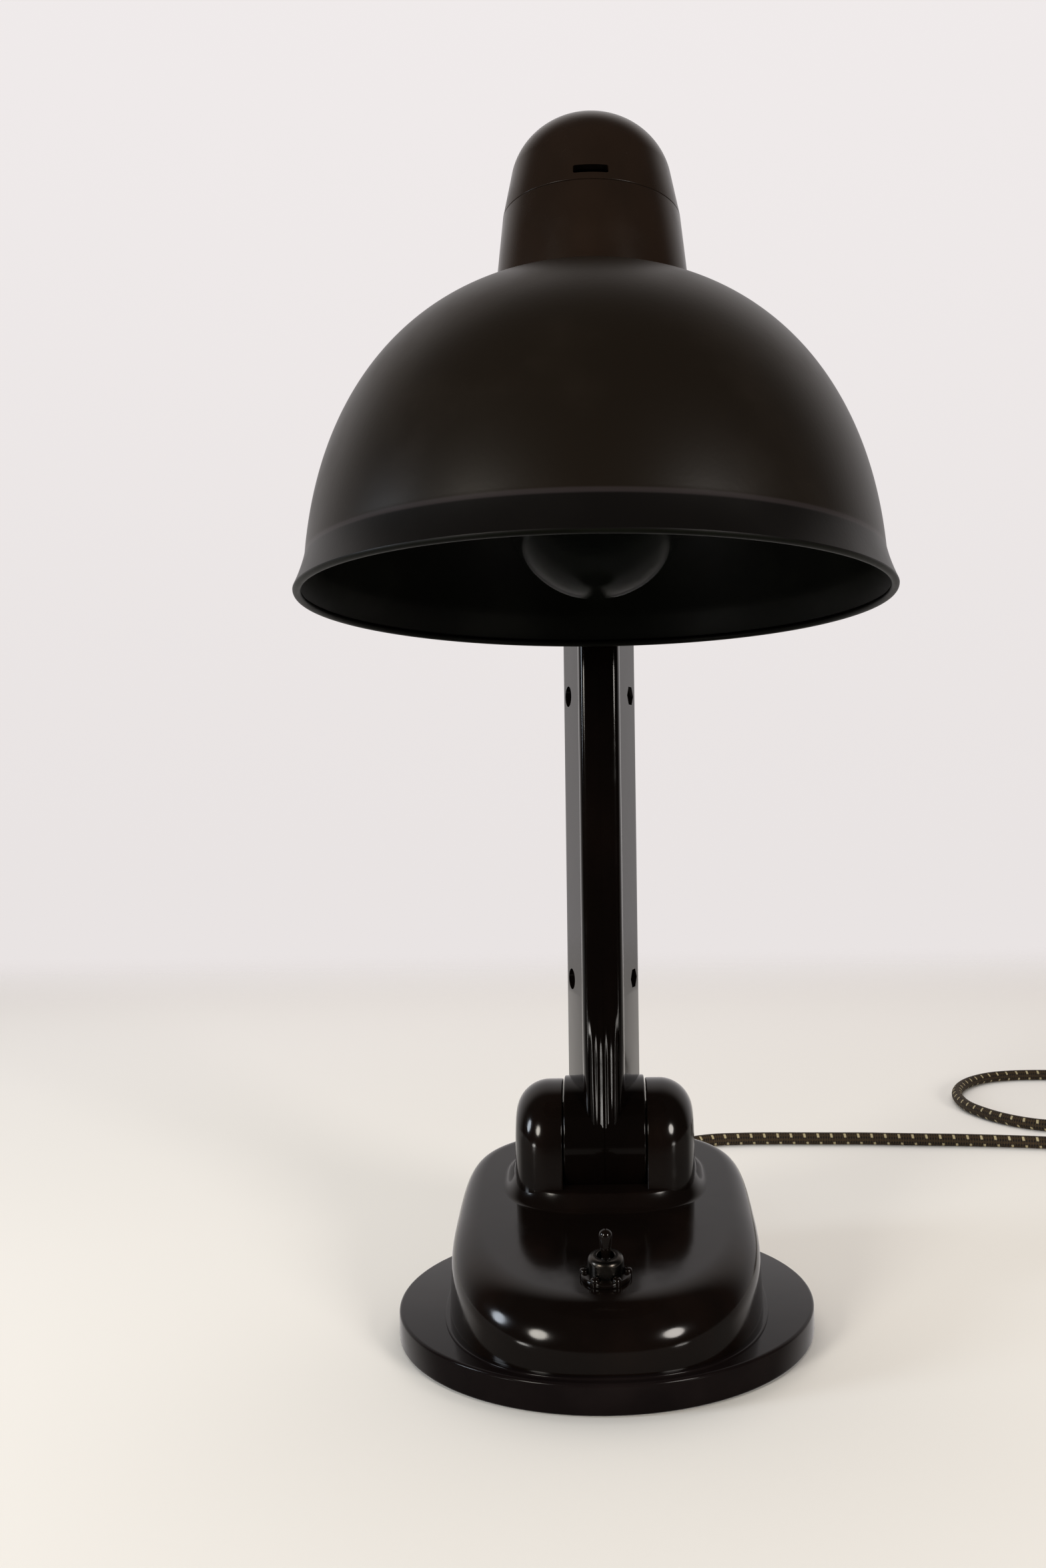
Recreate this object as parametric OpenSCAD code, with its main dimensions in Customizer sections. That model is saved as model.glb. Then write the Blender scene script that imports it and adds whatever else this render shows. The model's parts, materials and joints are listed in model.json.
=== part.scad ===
// Desk lamp of dark moulded resin: a weighted disc, a hollow housing with a toggle switch,
// a two-part arm between two friction joints, and a spun shade under a moulded neck and cap.
// Millimetres. Origin: centre of the felt's underside. Front is -Y, up is +Z.

/* [Base disc] */
// Radius of the base disc
disc_r = 82.5; // [81:0.5:95]
// Thickness of the base disc
disc_t = 11.1; // [9:0.1:14]
// Rounding of the disc's edges
disc_edge_r = 1.2; // [0.4:0.1:2.5]
// Height of the low plinth that frames the housing's foot
plinth_h = 0.8; // [0.4:0.1:2]
// How far the plinth stands out past the housing's foot
plinth_out = 1.8; // [1:0.1:2]
// Radius of the felt under the disc
felt_r = 74; // [70:0.5:76]
// Thickness of the felt
felt_t = 2; // [1.5:0.1:3]
// How far the felt stands proud of the disc's underside
felt_proud = 0.4; // [0.2:0.1:0.8]

/* [Housing] */
// Half width of the housing's foot
foot_a = 61; // [58:0.5:64]
// Reach of the foot towards the front
foot_front = 77.5; // [74:0.5:79]
// Reach of the foot towards the back
foot_back = 79.2; // [74:0.1:79.2]
// Height of the roof above the floor, over the disc's centre
roof_mid = 46.8; // [44:0.1:48]
// Rounding between the roof and the sides at the front
roof_edge_r = 15; // [10:0.5:17]
// Rounding between the roof and the sides at the back
roof_back_r = 9; // [7:0.5:15]
// Wall of the housing
housing_wall = 4; // [3:0.1:4.5]

/* [Lower joint] */
// Distance of both hinge axes behind the disc's centre
hinge_y = 24; // [20:0.5:28]
// Height of the lower hinge axis
lower_z = 70; // [69:0.5:73]
// Radius of the arm's knuckle
knuckle_r = 24; // [22.5:0.5:25]
// Half width of the knuckle
knuckle_half = 16.7; // [16:0.1:18]
// Radius of the ears about the hinge axis
ear_r = 22.8; // [21:0.1:24]
// Thickness of one ear
ear_t = 19.8; // [18:0.1:21]
// Rounding of the ears' outer edge
ear_edge_r = 14; // [10:0.5:15]
// Diameter of the bolts through both hinges
bolt_d = 6; // [5:0.5:6]

/* [Switch] */
// Distance of the switch in front of the disc's centre
switch_front = 52; // [48:0.5:53]
// Outer radius of the scalloped ring nut
ring_nut_r = 9.6; // [8.5:0.1:10.5]
// Radius of the domed collar
collar_r = 6.6; // [6:0.1:7]
// Length of the toggle lever beyond its pivot
lever_len = 13.6; // [12:0.1:16]
// Radius of the lever's rounded tip
lever_tip_r = 2.5; // [2:0.1:2.8]
// Lean of the lever from the switch axis in its rest position, in degrees
lever_lean = 11; // [6:0.5:12]

/* [Arm] */
// Height of the upper hinge axis
upper_z = 388; // [380:1:400]
// Half width of the arm
arm_half = 14.4; // [13:0.1:15]
// Half width of the reeded nose
nose_half = 8; // [7:0.1:9]
// Reach of the nose in front of the hinge axes
nose_front = 21.8; // [20:0.1:22]
// Where the nose's edges lie, in front of the hinge axes
nose_edge = 7; // [5:0.1:9]
// Reach of the arm behind the hinge axes
arm_back = 15; // [14:0.1:16]
// Wall of the arm's halves
arm_wall = 3; // [2.5:0.1:3.5]
// Height of the lower pair of arm screws
low_screw_z = 134; // [120:1:150]
// Height of the upper pair of arm screws
high_screw_z = 254.5; // [230:0.5:270]
// Radius of the recesses for screw heads and nuts
recess_r = 4.4; // [4.2:0.1:5]

/* [Head] */
// Distance of the rim's centre in front of the disc's centre
rim_front = 102; // [101:0.5:106]
// Height of the rim's centre
rim_z = 277.2; // [276:0.1:280]
// Tilt of the shade, opening towards the front, in degrees
head_tilt = 2.5; // [1:0.1:2.5]
// Radius of the shade's rim
rim_r = 97; // [92:0.1:97]
// How far the rim stands out past the crease above it
flare_out = 3.7; // [3.5:0.1:6]
// Height of the crease above the rim
crease_h = 10.8; // [9:0.1:13]
// Height of the dome's crown above the rim
crown_h = 103.4; // [102:0.1:104]
// Thickness of the shade's sheet
sheet_t = 1; // [0.8:0.1:1.2]
// Radius of the bead rolled at the rim
bead_r = 1.3; // [1.2:0.1:1.6]
// Radius of the neck at the seam below the cap
seam_r = 29.4; // [28.8:0.1:30]
// Height of the seam above the rim
seam_h = 125.6; // [124:0.1:127]
// Radius of the neck where it meets the dome
neck_foot_r = 32.2; // [31.8:0.1:33]
// Wall of the neck and cap
neck_wall = 3; // [2.6:0.1:3.2]
// Height of the cap's straight skirt
skirt_h = 10.8; // [9:0.1:12]
// Radius of the cap at the top of its skirt
skirt_r = 26.8; // [26:0.1:27.5]
// Height of the cap's dome above its skirt
cap_dome_h = 23; // [20:0.1:26]
// Width of the cap's air slots
slot_w = 11.1; // [9:0.1:13]
// Height of the cap's air slots
slot_h = 2.75; // [2:0.05:3.5]
// Radius of the bulb's glass
bulb_r = 30; // [27:0.5:31]
// Height of the bulb's centre above the rim
bulb_h = 30; // [30:0.5:33]

/* [Cord] */
// Diameter of the textile cord
cord_d = 7; // [6.4:0.1:7]
// Radius of the coil at the middle of its turns
coil_mid_r = 41; // [37:0.5:42]
// Step of the coil between neighbouring turns
coil_pitch = 7.8; // [7.8:0.1:8.4]
// Step of the coil between its two layers
coil_layer = 7.7; // [7.7:0.1:8.4]
// Width of the plug's body
plug_w = 34; // [32:0.5:37]
// Thickness of the plug's body
plug_t = 22; // [20:0.5:24]
// Length of the plug's body
plug_len = 28; // [24:0.5:34]
// Distance between the plug's pins
pin_gap = 19; // [18:0.5:19]

/* [Hidden] */

$fn = 64;
// One overrun serves every cut
over = 1;
// Gap of a fitted seat, of a running fit's radius, and between curved faces of two bodies
seat_gap = 0.1;
run_gap = 0.05;
free_gap = 0.3;

// Base disc and housing
disc_top = felt_proud + disc_t;
foot_z = disc_top + plinth_h;
// The foot's front is nearly an ellipse, its back a circle between two flats
front_power = 2.2;
back_power = 12;
// The roof rises towards the back, and the sides lean in by a share of their height
roof_slope_share = 0.18;
roof_angle = atan(roof_slope_share);
lean_share = 0.05;
outline_steps = 48;
fillet_steps = 6;

// Saddle: a flared oval plinth round the ears
saddle_half = 42.5;
saddle_len_half = 32;
saddle_back_shift = 1;
saddle_h = 6;
saddle_flare = 4.6;
saddle_power = 2.7;
saddle_rise_power = 1.5;
saddle_draw_power = 0.8;
saddle_steps = 5;

// Housing screws
boss_r = 5.5;
base_screw_r = 2.4;
base_screw_len = 22;
screw_head_r = 4.6;
screw_head_h = 3;
boss_x_front = 36;
boss_y_front = -36;
boss_x_back = 38;
boss_y_back = 46;
BOSSES = [
    [-boss_x_front, boss_y_front], [boss_x_front, boss_y_front],
    [-boss_x_back, boss_y_back], [boss_x_back, boss_y_back]
];

// Lower joint
joint_gap = 0.5;
washer_t = 0.4;
washer_r = 13;
ear_in = knuckle_half + joint_gap;
ear_out = ear_in + ear_t;
bolt_r = bolt_d / 2;
bolt_head_r = 6;
bolt_head_h = 4;
nut_r = 5.7;
nut_t = 5;
head_recess = 5;
slot_r = knuckle_r + 2 * free_gap;
slot_floor = 5;
lead_hole_r = 4;
lead_hole_back = 13;
driver_slot_w = 1.2;
driver_slot_h = 1.6;

// Switch, in a frame on the roof with its axis square to the roof
bushing_r = 6;
bushing_bore_r = 4.4;
bushing_up = 6.3;
lever_pivot_h = 4;
lever_root_r = 1.5;
collar_hole_r = 3.2;
lever_ball_r = 3.6;
lever_pin_r = 0.9;
lever_pin_half = 4.2;
ring_nut_h = 3.4;
lobe_r = 2.9;
lobe_count = 6;
lobe_h = 1.6;
switch_w = 20;
switch_depth = 16;
switch_h = 14;
terminal_r = 2;
terminal_h = 2.4;
terminal_x = 6;

// Arm
reed_depth = 0.5;
nose_wall = 4.5;
reed_count = 5;
nose_steps = 20;
cheek_r = arm_back;
nose_end_share = 2.4;
nose_end_z = upper_z - nose_end_share * cheek_r;
tongue_r = cheek_r - 0.8;
tongue_half = 6;
fork_half = tongue_half + joint_gap;
fork_floor_z = upper_z - cheek_r - free_gap;
arm_bolt_r = 2;
boss_arm_r = 6.3;
screw_behind = 7.5;
recess_floor = 8.6;
arm_head_r = 3.9;
arm_head_h = 2.6;
arm_nut_r = 4.1;
arm_nut_t = 3;
knuckle_wall = 5;
knuckle_boss_r = 7.5;
knuckle_side = 4;
// The knuckle's slot for the leads runs from under the bolt towards the back, in degrees
window_from = -108;
window_to = -12;
lead_r = 1.1;
lead_x = 1.3;
lead_sides = 8;

// Head, in the shade's own frame: axis up, h = 0 in the rim's plane
crease_r = rim_r - flare_out;
// The dome is widest a little below the rim's plane
dome_wide_share = 1.0065;
dome_r = crease_r * dome_wide_share;
dome_sink = 6.8;
dome_power = 2.29;
flare_hollow_share = 0.35;
dome_steps = 20;
flare_steps = 5;
hole_r = 20;
floor_top_h = crown_h + 1.6;
spigot_h = 2.2;
cap_steps = 10;
slot_above_seam = 2.4;
horn_drop = 14.1;
horn_h = seam_h - horn_drop;
horn_tip_share = 0.88;
horn_root_w = 26;
horn_root_h = 21;
horn_root_y = -rim_front + horn_h * sin(head_tilt) + seam_r - neck_wall;
horn_root_z = rim_z + horn_h * cos(head_tilt);
horn_narrow_y = hinge_y - nose_front - 2;
horn_groove_half = 2.4;
holder_r = 19.4;
holder_low = 76.5;
holder_high = 118;
flange_r = 24;
flange_t = 3;
ring_r = 26;
ring_h = 6;
shell_r = 13.9;
shell_t = 0.5;
shell_low = 77.5;
shell_high = 103;
contact_r = 4;
contact_t = 1;
cap_shell_r = 13.2;
bulb_cap_len = 26;
bulb_wall = 0.9;
glass_neck_r = 12.6;

// Cord gland
gland_z = 22;
gland_r = 6.5;
gland_tip_r = 4.9;
gland_len = 21;
gland_flange_r = 8.5;
gland_flange_t = 2;
gland_collar = 1.6;
gland_in_y = foot_back - housing_wall - 1.25 * gland_flange_t;
gland_tip_y = gland_in_y + gland_flange_t + gland_len + housing_wall;

// The cord's free route, chosen by hand: x, y, z
CORD_ROUTE = [
    [0, 78, 22], [0, 90, 22], [0, 104, 22], [0, 118, 20.5], [1, 132, 16.5], [2, 146, 11],
    [3, 160, 6.2], [5, 176, 3.9], [8, 193, 3.6], [13, 211, 3.6], [21, 228, 3.6],
    [32, 243, 3.6], [46, 255, 3.6], [63, 263, 3.6], [82, 265, 3.6], [100, 265, 3.6],
    [118, 264, 3.6], [136, 263, 3.6], [154, 262, 3.6], [172, 260, 3.6], [190, 258, 3.6],
    [209, 256, 3.6], [230, 253, 3.6], [252, 249, 3.6], [273, 244, 3.6], [294, 238, 3.6],
    [315, 233, 3.6], [334, 232, 3.6], [352, 236, 3.6], [366, 247, 3.6], [372, 263, 3.6],
    [367, 279, 3.6], [354, 290, 3.6], [337, 294, 3.6], [319, 291, 3.6], [302, 286, 3.6],
    [286, 284, 3.6], [272, 287, 3.6], [260, 295, 3.6], [250, 307, 3.6], [243, 321, 3.6],
    [238, 337, 3.6], [237, 354, 3.6], [239, 371, 3.6], [244, 387, 3.6], [252, 402, 3.6],
    [263, 415, 3.6], [277, 425, 3.6], [293, 430, 3.6], [311, 431, 3.6], [329, 429, 3.6],
    [347, 424, 3.7], [364, 418, 4], [380, 413, 4.2], [392, 412, 4.2], [404, 412, 4.2]
];
tail_len = 36;
cord_sides = 10;
coil_sides = 6;
coil_turns = 3;
rings_per_turn = 24;
tie_t = 0.6;
tie_w = 7;
// The coil starts where the cord's route ends
cord_end = CORD_ROUTE[len(CORD_ROUTE) - 1];
coil_centre_x = cord_end[0] + cord_d;
coil_centre_y = cord_end[1] - coil_mid_r - coil_pitch * coil_turns / 4;
coil_floor_z = cord_end[2];
plug_neck_r = 5.4;
plug_shoulder_r = 6.5;
plug_neck_len = 20;
pin_r = 2.3;
pin_len = 19;
pin_root = 8;

resin = "#2a1a14";
enamel = "#1c1614";
brass = "#b5914c";
steel = "#9a9a98";

// Outlines

function root_of(v, power) = sign(v) * pow(abs(v), 2 / power);

// Radius at an angle of a circle between two flats, with the corners between them blended
function flat_circle(t, half, r, power) = pow(pow(abs(cos(t)) / half, power) + pow(1 / r, power), -1 / power);

// A point of the housing's foot at an angle, drawn in by a distance
function foot_point(t, inset) = let (half = foot_a - inset, r = foot_back - inset) sin(t) < 0
    ? [half * root_of(cos(t), front_power), (foot_front - inset) * root_of(sin(t), front_power)]
    : flat_circle(t, half, r, back_power) * [cos(t) * half / flat_circle(0, half, r, back_power), sin(t)];

function foot_outline(inset) = [
    for (k = [0:outline_steps - 1]) foot_point(360 * k / outline_steps, inset)
];

function roof_z(y) = roof_mid + roof_slope_share * y;

function roof_round(y) = roof_edge_r + (roof_back_r - roof_edge_r) * (y + foot_front) / (foot_front + foot_back);

// One ring round the housing: its foot where turn is below zero, else a step of the roof's rounding
function housing_ring(inset, bottom_z, turn) = [
    for (k = [0:outline_steps - 1]) let (
        t = 360 * k / outline_steps,
        low = foot_point(t, inset),
        edge = roof_round(low[1]),
        r = edge - inset,
        lean = lean_share * (roof_z(low[1]) - edge - foot_z),
        high = foot_point(t, inset + lean + r * (1 - cos(max(turn, 0))))
    ) turn < 0
        ? [low[0], low[1], bottom_z]
        : [high[0], high[1], roof_z(high[1]) - inset - r * (1 - sin(turn))]
];

// A closed skin over rings of equal length, each counter-clockwise seen from the end that it faces
module loft(rings) {
    n = len(rings[0]);
    last = n * (len(rings) - 1);
    sides = [
        for (k = [0:len(rings) - 2]) for (i = [0:n - 1]) let (
            a = k * n + i, b = k * n + (i + 1) % n, c = b + n, d = a + n
        ) each [[a, c, b], [a, d, c]]
    ];
    start = [for (i = [0:n - 1]) i];
    end = [for (i = [n - 1:-1:0]) last + i];
    polyhedron([for (ring = rings) each ring], concat([start], sides, [end]));
}

module housing_form(inset, bottom_z) {
    loft(concat(
        [housing_ring(inset, bottom_z, -1)],
        [for (k = [0:fillet_steps]) housing_ring(inset, bottom_z, 90 * k / fillet_steps)]
    ));
}

// Round bar along X, from one x to another
module bar_x(r, from, to, sides = 64) {
    translate([from, 0, 0]) rotate([0, 90, 0]) cylinder(r = r, h = to - from, $fn = sides);
}

// Places along the lower and the upper hinge axis
module at_lower() {
    translate([0, hinge_y, lower_z]) children();
}

module at_upper() {
    translate([0, hinge_y, upper_z]) children();
}

// The switch's frame: on the roof, its axis square to it
module on_roof(front) {
    translate([0, -front, roof_z(-front)]) rotate([roof_angle, 0, 0]) children();
}

// The shade's frame
module in_head() {
    translate([0, -rim_front, rim_z]) rotate([-head_tilt, 0, 0]) children();
}

// Base

module felt_pad() {
    color("#2f3a30") cylinder(r = felt_r, h = felt_t);
}

module base_disc() {
    color(enamel) difference() {
        union() {
            translate([0, 0, felt_proud]) rotate_extrude() union() {
                square([disc_r - disc_edge_r, disc_t]);
                translate([0, disc_edge_r]) square([disc_r, disc_t - 2 * disc_edge_r]);
                for (z = [disc_edge_r, disc_t - disc_edge_r]) translate([disc_r - disc_edge_r, z])
                    circle(r = disc_edge_r, $fn = 24);
            }
            translate([0, 0, disc_top]) linear_extrude(plinth_h) polygon(foot_outline(-plinth_out));
        }
        translate([0, 0, felt_proud - over]) cylinder(r = felt_r + free_gap, h = felt_t - felt_proud + over);
        for (b = BOSSES) translate([b[0], b[1], 0]) {
            cylinder(r = base_screw_r + seat_gap, h = foot_z + over);
            cylinder(r = screw_head_r + free_gap, h = felt_t + screw_head_h + free_gap);
        }
    }
}

module base_screws() {
    head_z = felt_t + free_gap;
    color(steel) for (b = BOSSES) translate([b[0], b[1], head_z]) difference() {
        union() {
            cylinder(r = screw_head_r, h = screw_head_h, $fn = 32);
            cylinder(r = base_screw_r, h = screw_head_h + base_screw_len, $fn = 32);
        }
        translate([-screw_head_r - over, -driver_slot_w / 2, -over])
            cube([2 * (screw_head_r + over), driver_slot_w, over + driver_slot_h]);
    }
}

// Upper half turned about the hinge axis, straight sides below it
module ear() {
    round_in = ear_out - ear_edge_r;
    rotate([0, 90, 0]) {
        rotate([0, 0, 90]) rotate_extrude(angle = 180) union() {
            translate([0, ear_in]) square([ear_r, round_in - ear_in]);
            translate([0, ear_in]) square([ear_r - ear_edge_r, ear_t]);
            translate([ear_r - ear_edge_r, round_in]) intersection() {
                circle(r = ear_edge_r);
                square(ear_edge_r);
            }
        }
    }
    drop = lower_z - roof_z(hinge_y) + housing_wall;
    translate([0, 0, -drop]) linear_extrude(drop) union() {
        translate([ear_in, -ear_r]) square([round_in - ear_in, 2 * ear_r]);
        translate([ear_in, ear_edge_r - ear_r]) square([ear_t, 2 * (ear_r - ear_edge_r)]);
        for (y = [-1, 1]) translate([round_in, y * (ear_r - ear_edge_r)]) circle(r = ear_edge_r);
    }
}

function saddle_ring(h, out) = [
    for (k = [0:outline_steps - 1]) let (
        t = 360 * k / outline_steps,
        x = (saddle_half + out) * root_of(cos(t), saddle_power),
        y = hinge_y + saddle_back_shift + (saddle_len_half + out) * root_of(sin(t), saddle_power)
    ) [x, y, roof_z(y) + h]
];

module saddle() {
    loft(concat(
        [saddle_ring(-housing_wall / 2, 0)],
        [for (k = [0:saddle_steps]) let (s = k / saddle_steps)
            saddle_ring(saddle_h * pow(s, saddle_rise_power), -saddle_flare * pow(s, saddle_draw_power))]
    ));
}

module base_housing() {
    color(resin) difference() {
        union() {
            difference() {
                housing_form(0, foot_z);
                housing_form(housing_wall, foot_z - over);
            }
            saddle();
            at_lower() for (m = [0, 1]) mirror([m, 0, 0]) ear();
            translate([-ear_in - slot_floor, hinge_y - knuckle_r, lower_z - slot_r - slot_floor])
                cube([2 * (ear_in + slot_floor), 2 * knuckle_r, 2 * slot_floor]);
            for (b = BOSSES) translate([b[0], b[1], foot_z])
                cylinder(r = boss_r, h = roof_z(b[1]) - housing_wall / 2 - foot_z, $fn = 32);
        }
        at_lower() {
            bar_x(slot_r, -ear_in, ear_in);
            bar_x(bolt_r + run_gap, -ear_out - over, ear_out + over);
            bar_x(bolt_head_r + free_gap, ear_out - head_recess, ear_out + over);
            bar_x(nut_r + free_gap, -ear_out - over, -ear_out + head_recess + over, 6);
        }
        at_lower() translate([0, lead_hole_back, -slot_r - slot_floor])
            cylinder(r = lead_hole_r, h = slot_r);
        on_roof(switch_front) translate([0, 0, -2 * housing_wall])
            cylinder(r = bushing_r + seat_gap, h = 3 * housing_wall);
        translate([0, gland_in_y, gland_z]) rotate([-90, 0, 0]) {
            cylinder(r = gland_r + seat_gap, h = gland_len);
            cylinder(r = gland_flange_r + seat_gap, h = gland_flange_t + seat_gap);
        }
        for (b = BOSSES) translate([b[0], b[1], foot_z - over])
            cylinder(r = base_screw_r + run_gap, h = over + base_screw_len);
    }
}

// Tapered strain relief with a flange inside the wall
module cord_gland() {
    body_len = gland_tip_y - gland_in_y;
    color("#15110f") translate([0, gland_in_y, gland_z]) rotate([-90, 0, 0]) difference() {
        union() {
            cylinder(r = gland_r, h = gland_flange_t + housing_wall + gland_collar);
            cylinder(r = gland_flange_r, h = gland_flange_t);
            translate([0, 0, gland_flange_t + housing_wall + gland_collar])
                cylinder(r1 = gland_r, r2 = gland_tip_r, h = body_len - gland_flange_t - housing_wall - gland_collar);
        }
        translate([0, 0, -over]) cylinder(r = cord_d / 2 + seat_gap, h = body_len + 2 * over);
    }
}

// Thin lead that runs mostly across the X axis
module lead(points) {
    loft(tube_rings(points, lead_r, lead_sides, [1, 0, 0]));
}

// Where the switch's terminals end: y, z
function switch_foot() = [
    -switch_front + (housing_wall + switch_h + terminal_h) * sin(roof_angle),
    roof_z(-switch_front) - (housing_wall + switch_h + terminal_h) * cos(roof_angle)
];

module base_leads() {
    foot = switch_foot();
    run_z = foot[1] - terminal_r * sin(roof_angle) - lead_r - seat_gap;
    cord_y = CORD_ROUTE[0][1];
    rise_y = hinge_y + lead_hole_back;
    top_z = lower_z - slot_r + slot_floor / 2;
    color("#6b5a45") {
        // From one switch terminal to the cord, from the other up to the arm, and from the cord up too
        lead([
            [-terminal_x, foot[0] - terminal_r, run_z], [-terminal_x, hinge_y, run_z],
            [-2 * lead_x, cord_y - 4 * gland_r, run_z + lead_r],
            [-lead_x, cord_y - 2 * gland_r, gland_z], [-lead_x, cord_y, gland_z]
        ]);
        lead([
            [terminal_x, foot[0] - terminal_r, run_z], [terminal_x, hinge_y - knuckle_r, run_z],
            [lead_x, rise_y - 3 * lead_r, run_z + 3 * lead_r],
            [lead_x, rise_y, run_z + 8 * lead_r], [lead_x, rise_y, top_z]
        ]);
        lead([
            [lead_x, cord_y, gland_z], [lead_x, cord_y - 2 * gland_r, gland_z],
            [-lead_x, rise_y + 4 * lead_r, gland_z + 2 * lead_r],
            [-lead_x, rise_y, gland_z + 7 * lead_r], [-lead_x, rise_y, top_z]
        ]);
    }
}

// Switch

module switch_body() {
    color("#3a2c22") on_roof(switch_front) difference() {
        translate([-switch_w / 2, -switch_depth / 2, -housing_wall - switch_h - seat_gap])
            cube([switch_w, switch_depth, switch_h]);
        translate([0, 0, -housing_wall - switch_h / 2]) cylinder(r = bushing_r + seat_gap, h = switch_h);
    }
}

module switch_terminals() {
    color(brass) on_roof(switch_front) for (x = [-terminal_x, terminal_x])
        translate([x, 0, -housing_wall - switch_h - seat_gap - terminal_h])
            cylinder(r = terminal_r, h = terminal_h, $fn = 24);
}

module switch_bushing() {
    low = -housing_wall - switch_h / 2;
    color(steel) on_roof(switch_front) difference() {
        translate([0, 0, low]) cylinder(r = bushing_r, h = bushing_up - low);
        translate([0, 0, low + bushing_r / 2]) cylinder(r = bushing_bore_r, h = bushing_up - low);
    }
}

// Round nut with lobes that stand up round its edge
module switch_ring_nut() {
    color(resin) on_roof(switch_front) difference() {
        union() {
            cylinder(r = ring_nut_r, h = ring_nut_h - lobe_h);
            intersection() {
                cylinder(r = ring_nut_r, h = ring_nut_h);
                for (k = [0:lobe_count - 1]) rotate([0, 0, 360 * k / lobe_count])
                    translate([ring_nut_r - lobe_r / 2, 0, 0]) cylinder(r = lobe_r, h = ring_nut_h, $fn = 32);
            }
        }
        translate([0, 0, -over]) cylinder(r = bushing_r + run_gap, h = ring_nut_h + 2 * over);
        translate([0, 0, ring_nut_h - lobe_h]) cylinder(r = collar_r + seat_gap, h = ring_nut_h);
    }
}

// Cap nut over the bushing, domed round the lever's hole
module switch_collar() {
    low = ring_nut_h - lobe_h;
    dome = collar_r - bushing_bore_r;
    color(steel) on_roof(switch_front) difference() {
        union() {
            translate([0, 0, low]) cylinder(r = collar_r, h = bushing_up - low);
            translate([0, 0, bushing_up]) rotate_extrude() intersection() {
                union() {
                    translate([bushing_bore_r, 0]) circle(r = dome, $fn = 32);
                    square([bushing_bore_r, dome]);
                }
                square([collar_r, dome]);
            }
        }
        translate([0, 0, low - over]) cylinder(r = bushing_r + run_gap, h = bushing_up - low + over);
        cylinder(r = collar_hole_r, h = bushing_up + collar_r);
    }
}

module toggle_lever() {
    color("#241813") on_roof(switch_front) translate([0, 0, lever_pivot_h]) rotate([-lever_lean, 0, 0]) {
        sphere(r = lever_ball_r, $fn = 32);
        bar_x(lever_pin_r, -lever_pin_half, lever_pin_half, 24);
        cylinder(r1 = lever_root_r, r2 = lever_tip_r, h = lever_len - lever_tip_r, $fn = 32);
        translate([0, 0, lever_len - lever_tip_r]) sphere(r = lever_tip_r, $fn = 32);
    }
}

// Lower joint

module pivot_bolt(head_x, end_x, head_r, head_h) {
    difference() {
        union() {
            bar_x(bolt_r, end_x, head_x);
            bar_x(head_r, head_x, head_x + head_h);
        }
        translate([head_x + head_h - driver_slot_h, -head_r - over, -driver_slot_w / 2])
            cube([driver_slot_h + over, 2 * (head_r + over), driver_slot_w]);
    }
}

module lower_pivot_bolt() {
    color(steel) at_lower() pivot_bolt(ear_out - head_recess, -ear_out + over / 2, bolt_head_r, bolt_head_h);
}

module lower_pivot_nut() {
    color(steel) at_lower() difference() {
        bar_x(nut_r, -ear_out + over, -ear_out + over + nut_t, 6);
        bar_x(bolt_r + run_gap, -ear_out, ear_out);
    }
}

module lower_friction_washers() {
    side = ear_in - (joint_gap + washer_t) / 2;
    color("#7d5a3a") at_lower() for (m = [0, 1]) mirror([m, 0, 0]) difference() {
        bar_x(washer_r, side, side + washer_t);
        bar_x(bolt_r + run_gap, 0, ear_in);
    }
}

// Arm

// Outline of one half in plan, x from the parting line out, y towards the back
function nose_point(t) = let (
    reach = nose_front - nose_edge,
    flute = reed_depth * (1 - cos(2 * reed_count * t)) / 2
) [(nose_half - flute) * cos(t), -nose_edge - (reach - flute) * sin(t)];

function arm_outline() = concat(
    [[0, arm_back], [arm_half, arm_back]],
    [for (k = [0:nose_steps]) nose_point(90 * k / nose_steps)]
);

function arm_hollow() = [
    [-over, arm_back - arm_wall], [arm_half - arm_wall, arm_back - arm_wall],
    [nose_half - arm_wall, -nose_edge], [lead_x + 2 * lead_r, -nose_front + nose_wall + reed_depth],
    [-over, -nose_front + nose_wall]
];

// Side view of the arm above the lower axis: y, z, with a round cheek at the upper axis
module arm_side() {
    translate([-nose_front, 0]) square([nose_front + arm_back, nose_end_z - lower_z]);
    polygon([
        [-nose_front, nose_end_z - lower_z - over], [arm_back, nose_end_z - lower_z - over],
        [arm_back, upper_z - lower_z], [-cheek_r, upper_z - lower_z],
        [-nose_front, nose_end_z - lower_z]
    ]);
    translate([0, upper_z - lower_z]) circle(r = cheek_r);
}

// Side view of the slot that the leads run in, about the lower axis
module lead_window() {
    middle = (window_from + window_to) / 2;
    difference() {
        intersection() {
            circle(r = knuckle_r + over);
            polygon(concat([[0, 0]], [for (t = [window_from, middle, window_to]) 2 * knuckle_r * [cos(t), sin(t)]]));
        }
        circle(r = knuckle_r - knuckle_wall - over);
    }
}

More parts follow.
